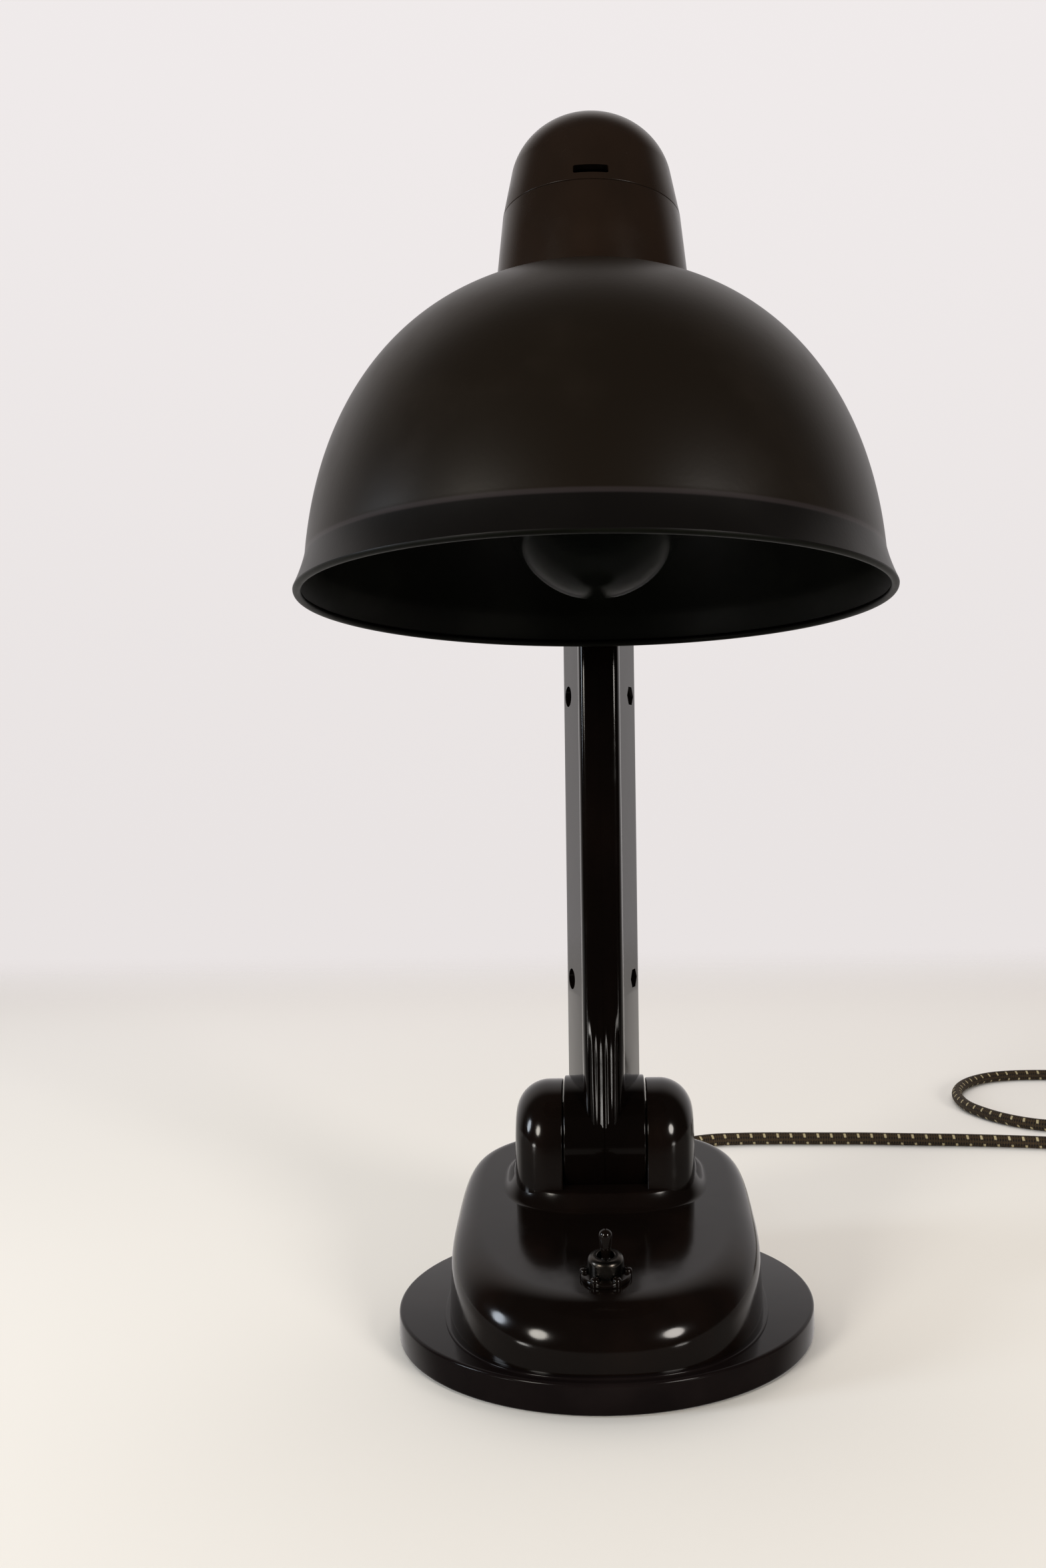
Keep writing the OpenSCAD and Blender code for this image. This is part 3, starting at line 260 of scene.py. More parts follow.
inside = Finish("shade_inside", ior=1.2)
inside_clouds = inside.noise(24, 5).step(0.4, 0.8)
inside.set(Base_Color=inside.mix(inside_clouds, (0.0024, 0.0027, 0.0014), (0.0050, 0.0056, 0.0034)))
inside.set(Roughness=0.42 + inside.noise(7, 4) * 0.1)
inside.bump(inside.noise(1.2, 3), depth_mm=0.03, strength=0.4)
print("the crease lies", CREASE_H, "mm over the rim")

# %% [markdown]
# ## Metals
# Screws, nuts, contacts and the bulb's cap are plain machined steel, brass or nickel, with a fine
# grain and dulled by age. A Metallic of 1 takes the colour into the reflection. Tarnish could
# be painted, but a second, darker colour in cloudy places looks the same on so small a piece.

# %% Metal finishes
def metal_finish(name, colour, tarnish, roughness, spread):
    f = Finish(name, Metallic=1.0)
    stain = f.noise(4.5, 5).step(0.42, 0.75)
    grain = f.noise(0.5, 2, stretch=(1, 6, 6))
    f.set(Base_Color=f.mix(stain, colour, tarnish), Roughness=roughness + grain * spread + stain * 0.1)
    f.bump(grain, depth_mm=0.01, strength=0.4)
    finishes[name] = f.material


metal_finish("steel", (0.30, 0.29, 0.28), (0.14, 0.12, 0.10), 0.26, 0.12)
metal_finish("dark_nickel", (0.05, 0.045, 0.04), (0.02, 0.017, 0.014), 0.20, 0.10)
metal_finish("brass", (0.62, 0.42, 0.17), (0.32, 0.20, 0.08), 0.28, 0.12)
metal_finish("nickel_cap", (0.62, 0.61, 0.58), (0.36, 0.34, 0.30), 0.26, 0.10)
print("finishes:", len(finishes))

# %% [markdown]
# ## Felt, rubber, fibre, porcelain and glass
# These are matte, apart from the glazed porcelain of the lamp holder and the bulb. Felt is a mat of
# fibres, so its noise is fine and its bump is deep. Real clear glass would need light that bends
# through it, but the bulb hangs unlit in a dark shade, where only a glint of it shows. It is
# therefore a thin dark film that is mostly see-through and keeps a faint shine.

# %% Small finishes
def matte_finish(name, dark, light, roughness, size_mm, depth_mm):
    f = Finish(name)
    grain = f.noise(size_mm, 5)
    f.set(Base_Color=f.mix(grain.step(0.3, 0.7), dark, light), Roughness=roughness + grain * 0.08)
    f.bump(grain, depth_mm, strength=0.8)
    finishes[name] = f.material


matte_finish("felt", (0.012, 0.02, 0.012), (0.03, 0.045, 0.028), 0.9, 0.6, 0.25)
matte_finish("gland_rubber", (0.006, 0.005, 0.0045), (0.012, 0.010, 0.009), 0.55, 1.2, 0.03)
matte_finish("lead_sleeve", (0.09, 0.06, 0.03), (0.16, 0.12, 0.07), 0.7, 0.4, 0.06)
matte_finish("switch_block", (0.02, 0.012, 0.008), (0.04, 0.025, 0.016), 0.5, 1.5, 0.02)
matte_finish("fibre", (0.14, 0.06, 0.03), (0.24, 0.12, 0.06), 0.65, 0.8, 0.04)
matte_finish("porcelain", (0.62, 0.58, 0.50), (0.70, 0.67, 0.60), 0.12, 14, 0.02)
matte_finish("tie_tape", (0.05, 0.035, 0.02), (0.13, 0.10, 0.065), 0.85, 0.5, 0.12)

glass = Finish("glass", roughness=0.03, ior=1.35, Alpha=0.12)
glass.set(Base_Color=glass.mix(glass.noise(20, 2), (0.010, 0.012, 0.010), (0.016, 0.018, 0.016)))
finishes["glass"] = glass.material
print("finishes:", len(finishes))

# %% [markdown]
# ## Meshes from rings
# Almost every piece is either turned on a lathe or drawn out through a row of outlines. Both are a
# skin over rings of points, so one function builds them. Corners that a mould or a lathe tool would
# leave soft are rounded in the outline itself, which gives an even highlight that a flat bevel
# can't.

# %% Skins and turned forms
def skin(rings):
    """Points and faces of a skin over rings of equal length, with its two ends closed."""
    n, last = len(rings[0]), len(rings) - 1
    points = [tuple(p) for ring in rings for p in ring]
    sides = [(k * n + i, k * n + (i + 1) % n, (k + 1) * n + (i + 1) % n, (k + 1) * n + i)
             for k in range(last) for i in range(n)]
    return points, sides + [tuple(range(n))[::-1], tuple(range(n * last, n * (last + 1)))]


def lathe(outline, steps):
    """A turned form from (radius, height) pairs. An outline that closes on itself needs no ends."""
    turns = [2 * math.pi * k / steps for k in range(steps)]
    points, faces = skin([[(r * math.cos(t), r * math.sin(t), z) for t in turns] for r, z in outline])
    return points, faces[:-2] if outline[0] == outline[-1] else faces


print("a test lathe has", len(lathe([(0, 0), (1, 0), (1, 1), (0, 1)], 8)[0]), "points")

# %% Rounded corners
NEARLY_STRAIGHT = 1.55


def rounded(corners, steps=6):
    """A polyline whose corners (x, y, radius) are replaced by arcs. The first and last stay as they are."""
    made = [corners[0][:2]]
    for before, here, after in zip(corners, corners[1:], corners[2:]):
        a, b, c = (np.array(p[:2], float) for p in (before, here, after))
        to_a, to_c = (a - b) / np.linalg.norm(a - b), (c - b) / np.linalg.norm(c - b)
        half = math.acos(max(-1, min(1, float(to_a @ to_c)))) / 2
        if len(here) < 3 or here[2] == 0 or half > NEARLY_STRAIGHT:
            made.append(tuple(b))
            continue
        reach = here[2] / math.tan(half)
        middle = b + (to_a + to_c) / np.linalg.norm(to_a + to_c) * here[2] / math.sin(half)
        start, end = b + to_a * reach - middle, b + to_c * reach - middle
        turn = math.atan2(start[0] * end[1] - start[1] * end[0], start @ end)
        for k in range(steps + 1):
            t = turn * k / steps
            x = start[0] * math.cos(t) - start[1] * math.sin(t)
            y = start[0] * math.sin(t) + start[1] * math.cos(t)
            made.append((middle[0] + x, middle[1] + y))
    return made + [corners[-1][:2]]


print("one rounded corner has", len(rounded([(0, 0), (1, 0, 0.2), (1, 1)])) - 2, "points")

# %% Forms put together and moved
def joined(*forms):
    """One list of points and faces from several."""
    points, faces = [], []
    for p, f in forms:
        faces += [tuple(i + len(points) for i in face) for face in f]
        points += list(p)
    return points, faces


def moved(form, matrix):
    return [tuple(matrix @ Vector(p)) for p in form[0]], form[1]


def mirrored(form):
    """The same form on the lamp's other side."""
    return [(-x, y, z) for x, y, z in form[0]], [f[::-1] for f in form[1]]


def along_x(form):
    """A form that was turned round Z, laid so that its axis runs along X."""
    return moved(form, Matrix(((0, 0, 1, 0), (1, 0, 0, 0), (0, 1, 0, 0), (0, 0, 0, 1))))


print("the Z axis laid along X:", along_x(([(0, 0, 1)], []))[0])

# %% [markdown]
# ## Pieces
# A form in millimetres becomes a Blender object in metres. Points that fall together are merged,
# normals are turned outwards, and edges sharper than a given angle stay sharp in the shading.
# Holes could be left out of the faces by hand, but the Boolean modifier cuts them cleanly, and its
# result is kept as the mesh.

# %% Object helpers
MERGE_WITHIN = 0.001 * MM


def mesh_object(name, form):
    mesh = bpy.data.meshes.new(name)
    mesh.from_pydata([tuple(v * MM for v in p) for p in form[0]], [], form[1])
    made = bpy.data.objects.new(name, mesh)
    bpy.context.scene.collection.objects.link(made)
    clean(made)
    return made


def clean(made):
    work = bmesh.new()
    work.from_mesh(made.data)
    bmesh.ops.remove_doubles(work, verts=work.verts, dist=MERGE_WITHIN)
    bmesh.ops.dissolve_degenerate(work, edges=work.edges, dist=MERGE_WITHIN)
    bmesh.ops.recalc_face_normals(work, faces=work.faces)
    work.to_mesh(made.data)
    work.free()


def cut(made, form, operation="DIFFERENCE"):
    """Takes a form out of a piece, or keeps only what lies inside it."""
    tool = mesh_object("tool", form)
    change = made.modifiers.new("cut", "BOOLEAN")
    change.object, change.operation, change.solver = tool, operation, "EXACT"
    bpy.context.view_layer.update()
    result = bpy.data.meshes.new_from_object(made.evaluated_get(bpy.context.evaluated_depsgraph_get()))
    made.modifiers.clear()
    made.data = result
    bpy.data.objects.remove(tool)
    clean(made)


def finish_piece(made, finish, body, slot, *nodes, sharp=32):
    """Gives a piece its finish, shading and body, and hides the CAD nodes it stands for. Slot is not used.
    """
    made.data.materials.clear()
    for material in (finish if isinstance(finish, list) else [finish]):
        made.data.materials.append(material)
    made.data.shade_smooth()
    made.data.set_sharp_from_angle(angle=math.radians(sharp))
    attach(made, body)
    if nodes:
        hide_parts(*nodes)
    print(made.name, len(made.data.polygons), "faces")


# %% [markdown]
# ## The cord
# A textile-covered twin lead, 7 mm thick, leaves the back of the housing, drops to the table and
# runs off to the right, with one loop in view. The rest is stored in a neat coil outside the view,
# which winds in, climbs a layer and winds out. The route is a list of places, as a hand would lay
# the cord, and the coil is worked out by a loop. Then a smooth line goes through all the places.

# %% Cord route
CORD_D = 7
CORD_ROUTE = [
    [0, 78, 22], [0, 90, 22], [0, 104, 22], [0, 118, 20.5], [1, 132, 16.5], [2, 146, 11],
    [3, 160, 6.2], [5, 176, 3.9], [8, 193, 3.6], [13, 211, 3.6], [21, 228, 3.6],
    [32, 243, 3.6], [46, 255, 3.6], [63, 263, 3.6], [82, 265, 3.6], [100, 265, 3.6],
    [118, 264, 3.6], [136, 263, 3.6], [154, 262, 3.6], [172, 260, 3.6], [190, 258, 3.6],
    [209, 256, 3.6], [230, 253, 3.6], [252, 249, 3.6], [273, 244, 3.6], [294, 238, 3.6],
    [315, 233, 3.6], [334, 232, 3.6], [352, 236, 3.6], [366, 247, 3.6], [372, 263, 3.6],
    [367, 279, 3.6], [354, 290, 3.6], [337, 294, 3.6], [319, 291, 3.6], [302, 286, 3.6],
    [286, 284, 3.6], [272, 287, 3.6], [260, 295, 3.6], [250, 307, 3.6], [243, 321, 3.6],
    [238, 337, 3.6], [237, 354, 3.6], [239, 371, 3.6], [244, 387, 3.6], [252, 402, 3.6],
    [263, 415, 3.6], [277, 425, 3.6], [293, 430, 3.6], [311, 431, 3.6], [329, 429, 3.6],
    [347, 424, 3.7], [364, 418, 4], [380, 413, 4.2], [392, 412, 4.2], [404, 412, 4.2],
]
COIL_TURNS, TURN_STEPS, COIL_R, COIL_PITCH, COIL_LAYER, TAIL = 3, 24, 41, 7.8, 7.7, 36
coil_x, coil_floor = CORD_ROUTE[-1][0] + CORD_D, CORD_ROUTE[-1][2]
coil_y = CORD_ROUTE[-1][1] - COIL_R - COIL_PITCH * COIL_TURNS / 4


def coil_point(turn):
    half = COIL_TURNS / 2
    r = COIL_R - COIL_PITCH * half / 2 + COIL_PITCH * abs(turn - half)
    s = min(max((turn - half) * 2 + 0.5, 0), 1)
    t = math.radians(90 - 360 * turn)
    climbed = COIL_LAYER * s * s * (3 - 2 * s)
    return [coil_x + r * math.cos(t), coil_y + r * math.sin(t), coil_floor + climbed]


coil = [coil_point(k / TURN_STEPS) for k in range(TURN_STEPS * COIL_TURNS + 1)]
coil_end = np.array(coil_point(COIL_TURNS)) + [CORD_D, 0, 0]
tail = [coil_end + [TAIL * s, 0, 0] for s in (0, 0.5, 1)]
route = np.array(CORD_ROUTE + coil + tail, float)
print("places on the route:", len(route))

# %% Cord line
LINE_STEP = 1.0


def eased(points, step):
    """A smooth line through all the points, with new points about a step apart."""
    ends = np.vstack([2 * points[0] - points[1], points, 2 * points[-1] - points[-2]])
    made = []
    for a, b, c, d in zip(ends, ends[1:], ends[2:], ends[3:]):
        for s in np.linspace(0, 1, max(2, round(np.linalg.norm(c - b) / step)) + 1)[:-1]:
            bend = (2 * a - 5 * b + 4 * c - d) * s ** 2 + (3 * b - a - 3 * c + d) * s ** 3
            made.append(0.5 * (2 * b + (c - a) * s + bend))
    return np.array(made + [points[-1]])


centreline = eased(route, LINE_STEP)
run = np.concatenate([[0], np.cumsum(np.linalg.norm(np.diff(centreline, axis=0), axis=1))])
print("cord length, mm:", round(run[-1], 1), "in", len(centreline), "rings")

# %% [markdown]
# ## The braid
# The cord's cover is woven of brown threads that cross in two slanting directions, with pale threads
# that come up as short flecks in four rows. The weave is the product of two waves that run round the
# cord in opposite directions. Woven threads could be modelled one by one, but at this size a bump
# does as well. Waves and flecks need to know how far along the cord and how far round it a place is,
# in millimetres and in turns, so they read both from a UV map named lay, which the tube's mesh gets.

# %% Braid finish
FLECK_EVERY, FLECK_ROWS, STRAND, STRANDS_ROUND = 8.0, 4, 1.5, 8
braid = Finish("cord_braid", ior=1.35)
run_mm, turn, _ = braid.split(braid.node("ShaderNodeUVMap", {"uv_map": "lay"}))
along, around = run_mm * (math.pi / STRAND), turn * (math.pi * STRANDS_ROUND)
weave = (along + around).maths("SINE") * (along - around).maths("SINE") * 0.5 + 0.5
row = (turn * FLECK_ROWS).maths("FLOOR")
beat = (run_mm / FLECK_EVERY + row * 0.5 + turn * 0.35).maths("FRACT")
across = (turn * FLECK_ROWS).maths("FRACT")
fleck = (1 - (beat - 0.5).maths("ABSOLUTE").step(0.06, 0.11)) \
    * (1 - (across - 0.5).maths("ABSOLUTE").step(0.19, 0.30))
thread = braid.noise(0.5, 3)
brown = braid.mix(thread.step(0.3, 0.7), (0.020, 0.013, 0.006), (0.050, 0.030, 0.012))
# Painted shade: where the weave dips between the threads, the colour turns nearly black.
ground = braid.mix(weave.step(0.15, 0.6), (0.006, 0.004, 0.003), brown)
braid.set(Base_Color=braid.mix(fleck, ground, (0.40, 0.34, 0.20)), Roughness=0.72 + thread * 0.15)
braid.bump(weave + thread * 0.3, depth_mm=0.35, strength=0.9)
finishes["cord_braid"] = braid.material
print("flecks in a row along the cord:", round(run[-1] / FLECK_EVERY))

# %% [markdown]
# ## The cord's tube
# A curve with a round bevel would be quicker, but it carries no useful coordinates for a braid, so
# the tube is built from rings. Each ring stands square to the line, with one axis kept level, so the
# tube doesn't twist. The face that crosses the seam ends at a full turn, not at zero.

# %% Cord tube
SIDES = 24
ahead_line = np.gradient(centreline, axis=0)
ahead_line /= np.linalg.norm(ahead_line, axis=1)[:, None]
side_line = np.cross(ahead_line, [0, 0, 1])
side_line /= np.linalg.norm(side_line, axis=1)[:, None]
up_line = np.cross(side_line, ahead_line)
round_turn = np.arange(SIDES) / SIDES * 2 * math.pi
cord_points, cord_faces = skin([
    [c + CORD_D / 2 * (math.cos(t) * s + math.sin(t) * u) for t in round_turn]
    for c, s, u in zip(centreline, side_line, up_line)])
cord_mesh = bpy.data.meshes.new("cord_flex")
cord_mesh.from_pydata([tuple(v * MM for v in p) for p in cord_points], [], cord_faces)
lay_map = cord_mesh.uv_layers.new(name="lay")
for face in cord_mesh.polygons:
    turns = [v % SIDES for v in face.vertices]
    crosses_seam = len(turns) == 4 and max(turns) - min(turns) > 1
    for corner, v, t in zip(face.loop_indices, face.vertices, turns):
        turned = SIDES if crosses_seam and t == 0 else t
        lay_map.data[corner].uv = (run[v // SIDES], turned / SIDES)
flex = bpy.data.objects.new("cord_flex", cord_mesh)
bpy.context.scene.collection.objects.link(flex)
finish_piece(flex, finishes["cord_braid"], "base", "cord_braid", "cord", "cord_coil", "cord_tail", sharp=60)

# %% [markdown]
# ## Felt disc and iron disc
# The disc is a turned casting with softly broken edges, and a low raised step frames the housing's
# foot. A plain cylinder would do for the disc, but not for the step, which has the housing's own
# outline, so that outline is written first. Its front is nearly an ellipse, and its back follows the
# disc's circle between two flats. The felt below keeps its CAD form.

# %% Outline of the housing's foot
FOOT_A, FOOT_FRONT, FOOT_BACK, FRONT_POWER, BACK_POWER = 61.8, 77.5, 79.2, 2.4, 12
ROUND_STEPS = 288
angles = [2 * math.pi * k / ROUND_STEPS for k in range(ROUND_STEPS)]


def power_turn(t, power):
    """Cosine and sine of an angle, squared up by a power above 2."""
    c, s = math.cos(t), math.sin(t)
    return (math.copysign(abs(c) ** (2 / power), c), math.copysign(abs(s) ** (2 / power), s))


def flat_circle(t, half, r):
    """Radius of a circle between two flats, with the corners between them blended."""
    return ((abs(math.cos(t)) / half) ** BACK_POWER + (1 / r) ** BACK_POWER) ** (-1 / BACK_POWER)


def foot_point(t, inset):
    half, r = FOOT_A - inset, FOOT_BACK - inset
    if math.sin(t) < 0:
        c, s = power_turn(t, FRONT_POWER)
        return half * c, (FOOT_FRONT - inset) * s
    reach = flat_circle(t, half, r)
    return reach * math.cos(t) * half / flat_circle(0, half, r), reach * math.sin(t)


print("the foot is", 2 * FOOT_A, "mm wide")

# %% Base disc
DISC_R, DISC_LOW, DISC_TOP, DISC_EDGE = 82.5, 0.4, 11.5, 1.2
FOOT_Z, STEP_OUT, STEP_SUNK = 12.3, 1.8, 0.5
disc_outline = rounded([
    (0, DISC_LOW), (DISC_R, DISC_LOW, DISC_EDGE), (DISC_R, DISC_TOP, DISC_EDGE), (0, DISC_TOP)])
step_side = [(0, DISC_TOP - STEP_SUNK), (0, FOOT_Z - 0.3), (0.1, FOOT_Z - 0.1),
             (0.35, FOOT_Z), (0.8, FOOT_Z)]
raised_step = skin([[(*foot_point(t, inset - STEP_OUT), z) for t in angles] for inset, z in step_side])
base_disc = mesh_object("iron_disc", joined(lathe(disc_outline, 256), raised_step))
finish_piece(base_disc, finishes["base_enamel"], "base", "base_enamel", "base_disc")

# %% [markdown]
# ## The housing
# One moulding makes the sloping box, the flared saddle on it and the two ears that hold the arm.
# The box is drawn out of its foot's outline: straight leaning sides, then a round shoulder, then a
# flat roof that rises to the back. A bevelled cube could come near it, but its shoulder would be
# equally wide all round, and the real one is widest in front. The box is hollow, so a second skin
# that lies one wall further in is cut out of it.

# %% Housing skins
HINGE_Y, LOWER_Z, UPPER_Z = 24, 70, 388
FRONT_ROUND, BACK_ROUND, WALL, LEAN, SLOPE, ROOF_MID = 15, 6, 4, 0.05, 0.18, 46.8
FLAT_SHARE = 0.97


def roof_z(y):
    return ROOF_MID + SLOPE * y


def shoulder_ring(inset, turn):
    """The outline at a turn of 0, where the leaning side ends, to a quarter, where the roof starts."""
    ring = []
    for t in angles:
        y = foot_point(t, inset)[1]
        edge = FRONT_ROUND + (BACK_ROUND - FRONT_ROUND) * (y + FOOT_FRONT) / (FOOT_FRONT + FOOT_BACK)
        r, drawn_in = edge - inset, LEAN * (roof_z(y) - edge - FOOT_Z)
        high = foot_point(t, inset + drawn_in + r * (1 - math.cos(turn)))
        ring.append((*high, roof_z(high[1]) - inset - r * (1 - math.sin(turn))))
    return ring


def housing_skin(inset, bottom_z, steps):
    rings = [[(*foot_point(t, inset), bottom_z) for t in angles]]
    rings += [shoulder_ring(inset, math.pi / 2 * k / steps) for k in range(steps + 1)]
    flat = [(x * FLAT_SHARE, y * FLAT_SHARE, roof_z(y * FLAT_SHARE) - inset) for x, y, _ in rings[-1]]
    return skin(rings + [flat])


print("the roof's back is", round(roof_z(FOOT_BACK), 1), "mm high")

# %% [markdown]
# ## Saddle and ears
# The saddle rises out of the roof in a hollow flare with a small round lip. It is a skin whose
# outline shrinks as it rises, fast at first. An ear's section is carried up the front, over the
# hinge axis and down the back, so its round edge keeps its radius all the way, which a cylinder
# joined to a box wouldn't give.

# %% Saddle and ear skins
SADDLE_HALF, SADDLE_LEN_HALF, SADDLE_BACK, SADDLE_POWER = 42.5, 32, 1, 2.7
SADDLE_H, SADDLE_FLARE, RISE_POWER, DRAW_POWER = 6, 4.6, 1.5, 0.8
SADDLE_FOOT = ((-2, 0.6), (0, 0.15))
SADDLE_LIP = ((5.95, -4.75), (6, -5.2), (6, -7))
EAR_IN, EAR_OUT, EAR_R, EAR_ROUND, EAR_SHARP = 17.2, 37.0, 22.8, 14, 0.6


def saddle_ring(h, out):
    ring = []
    for t in angles:
        c, s = power_turn(t, SADDLE_POWER)
        y = HINGE_Y + SADDLE_BACK + (SADDLE_LEN_HALF + out) * s
        ring.append(((SADDLE_HALF + out) * c, y, roof_z(y) + h))
    return ring


def saddle_skin():
    flare = [(SADDLE_H * s ** RISE_POWER, -SADDLE_FLARE * s ** DRAW_POWER)
             for s in np.linspace(0.04, 0.97, 20)]
    return skin([saddle_ring(h, out) for h, out in (*SADDLE_FOOT, *flare, *SADDLE_LIP)])


def ear_skin():
    section = rounded([(EAR_IN, 0), (EAR_IN, EAR_R, EAR_SHARP),
                       (EAR_OUT, EAR_R, EAR_ROUND), (EAR_OUT, 0)], 16)
    drop = LOWER_Z - roof_z(HINGE_Y) + WALL / 2
    rows = []
    for x, r in section:
        row = [(x, -r, -drop)] + [(x, -r, -drop * (1 - k / 6)) for k in range(1, 6)]
        row += [(x, -r * math.cos(t), r * math.sin(t)) for t in np.linspace(0, math.pi, 49)]
        row += [(x, r, -drop * k / 6) for k in range(1, 7)]
        rows.append(row)
    n = len(rows[0])
    points = [(x, y + HINGE_Y, z + LOWER_Z) for row in rows for x, y, z in row]
    faces = [(k * n + i, k * n + i + 1, (k + 1) * n + i + 1, (k + 1) * n + i)
             for k in range(len(rows) - 1) for i in range(n - 1)]
    bottom = [k * n for k in range(len(rows))] + [k * n + n - 1 for k in range(len(rows) - 1, -1, -1)]
    return points, faces + [tuple(bottom)]


def bar_x(r, low, high, steps, y=HINGE_Y, z=LOWER_Z):
    """A round or hexagonal bar along X."""
    ring = [(r * math.cos(t), r * math.sin(t)) for t in (2 * math.pi * k / steps for k in range(steps))]
    return skin([[(x, y + a, z + b) for a, b in ring] for x in (low, high)])


print("an ear has", len(ear_skin()[0]), "points")

# %% Housing pieces
SLOT_R, BOLT_HEAD_R, NUT_R, BOLT_RECESS, NUT_RECESS = 24.6, 6, 5.7, 5, 6
CLEAR, OVER = 0.3, 1
housing = mesh_object("housing_shell", housing_skin(0, FOOT_Z, 18))
cut(housing, housing_skin(WALL, FOOT_Z - OVER, 8))
saddle = mesh_object("housing_saddle", saddle_skin())
for piece in (housing, saddle):
    cut(piece, bar_x(SLOT_R, -EAR_IN, EAR_IN, 128))
ear_right = mesh_object("housing_ear_right", ear_skin())
cut(ear_right, bar_x(BOLT_HEAD_R + CLEAR, EAR_OUT - BOLT_RECESS, EAR_OUT + OVER, 48))
ear_left = mesh_object("housing_ear_left", mirrored(ear_skin()))
cut(ear_left, bar_x(NUT_R + CLEAR, -EAR_OUT - OVER, NUT_RECESS - EAR_OUT, 6))
finish_piece(housing, finishes["bakelite"], "base", "bakelite", "base_housing")
for piece in (saddle, ear_right, ear_left):
    finish_piece(piece, finishes["bakelite"], "base", "bakelite")

# %% [markdown]
# ## The switch
# A toggle switch pokes through the roof: a ring nut with small lobes that fingers can turn, a domed
# collar, and a slender lever with a round tip. They stand square to the sloping roof. Outlines drawn
# on the slope would be awkward, so the pieces are turned upright and then laid on it.

# %% Switch pieces
SWITCH_Y = -52
RING_HOLE, RING_R, RING_H = 6.1, 9.2, 1.9
LOBE_R, LOBE_H, LOBE_AT, LOBE_COUNT = 1.7, 3.4, 7.9, 6
COLLAR_IN, COLLAR_R, COLLAR_HOLE, COLLAR_LOW, COLLAR_TOP = 6.05, 6.6, 3.2, 1.8, 8.5
on_roof = Matrix.Translation((0, SWITCH_Y, roof_z(SWITCH_Y))) @ Matrix.Rotation(math.atan(SLOPE), 4, "X")


def lobe(k):
    upright = lathe(rounded([(0, 0), (LOBE_R, 0, 0.2), (LOBE_R, LOBE_H, 1.3), (0, LOBE_H)], 8), 32)
    round_the_nut = Matrix.Rotation(math.tau * k / LOBE_COUNT, 4, "Z")
    return moved(upright, round_the_nut @ Matrix.Translation((LOBE_AT, 0, 0)))


nut_outline = rounded([(RING_HOLE, 0), (RING_R, 0, 0.5), (RING_R, RING_H, 0.7), (RING_HOLE, RING_H)])
nut_ring = lathe(nut_outline + [(RING_HOLE, 0)], 96)
nut = mesh_object("ring_nut", moved(joined(nut_ring, *(lobe(k) for k in range(LOBE_COUNT))), on_roof))
finish_piece(nut, finishes["bakelite"], "base", "bakelite", "switch_ring_nut", sharp=40)

dome = rounded([(COLLAR_IN, COLLAR_LOW), (COLLAR_R, COLLAR_LOW), (COLLAR_R, COLLAR_TOP, 2.1),
                (COLLAR_HOLE, COLLAR_TOP, 0.4), (COLLAR_HOLE, COLLAR_TOP - 2.1)], 10)
dome += [(COLLAR_IN, COLLAR_TOP - 2.2), (COLLAR_IN, COLLAR_LOW)]
collar = mesh_object("switch_collar_dome", moved(lathe(dome, 96), on_roof))
finish_piece(collar, finishes["dark_nickel"], "base", "dark_nickel", "switch_collar", sharp=40)

# %% Lever
LEVER_LEN, TIP_R, BALL_R, BALL_END, STEM_LOW_R, STEM_HIGH_R = 13.6, 2.5, 3.55, 2.72, 1.62, 2.42
LEVER_PIVOT_H, LEVER_LEAN = 4, math.radians(-11)
quarter = np.linspace(0, math.pi / 2, 12)
ball = [(BALL_R * math.sin(t), -BALL_R * math.cos(t)) for t in np.linspace(0, BALL_END, 20)]
stem = [(STEM_LOW_R, BALL_R), (STEM_HIGH_R, LEVER_LEN - TIP_R - 1)]
tip = [(TIP_R * math.cos(t), LEVER_LEN - TIP_R + TIP_R * math.sin(t)) for t in quarter]
on_pivot = on_roof @ Matrix.Translation((0, 0, LEVER_PIVOT_H)) @ Matrix.Rotation(LEVER_LEAN, 4, "X")
lever = mesh_object("toggle_stem", moved(lathe(ball + stem + tip, 64), on_pivot))
finish_piece(lever, finishes["bakelite"], "toggle", "bakelite", "toggle_lever", sharp=50)

# %% [markdown]
# ## The arm
# Two mirrored mouldings meet in a line down the middle of the nose. Each has a flat flank, half of
# the nose and a drum at its foot. The nose is square with soft corners. Near the foot it becomes
# rounder, is fluted and stands out a little more, so that it catches the light in fine lines there,
# and it runs into the drum in a point. A bevelled bar couldn't change on the way, so each half is a
# skin over plans at rising heights, and its side view is then cut to shape.

# %% Outlines of the arm
ARM_HALF, NOSE_HALF, NOSE_FRONT, NOSE_EDGE, ARM_BACK = 15.5, 8.7, 21.8, 7, 15
NOSE_POWER, FOOT_NOSE_POWER, BACK_EDGE, PARTING_BACK, PARTING_FRONT = 6, 2.4, 0.9, 0.15, 0.12
FLUTE_DEPTH, FLUTE_PITCH, FLARE, FLARE_TOP_Z = 0.72, 4.2, 1.4, 128
CHEEK_R, NOSE_GAP = 15, 2.4
NOSE_END_Z, FORK_FLOOR = UPPER_Z - NOSE_GAP * CHEEK_R, UPPER_Z - CHEEK_R - CLEAR


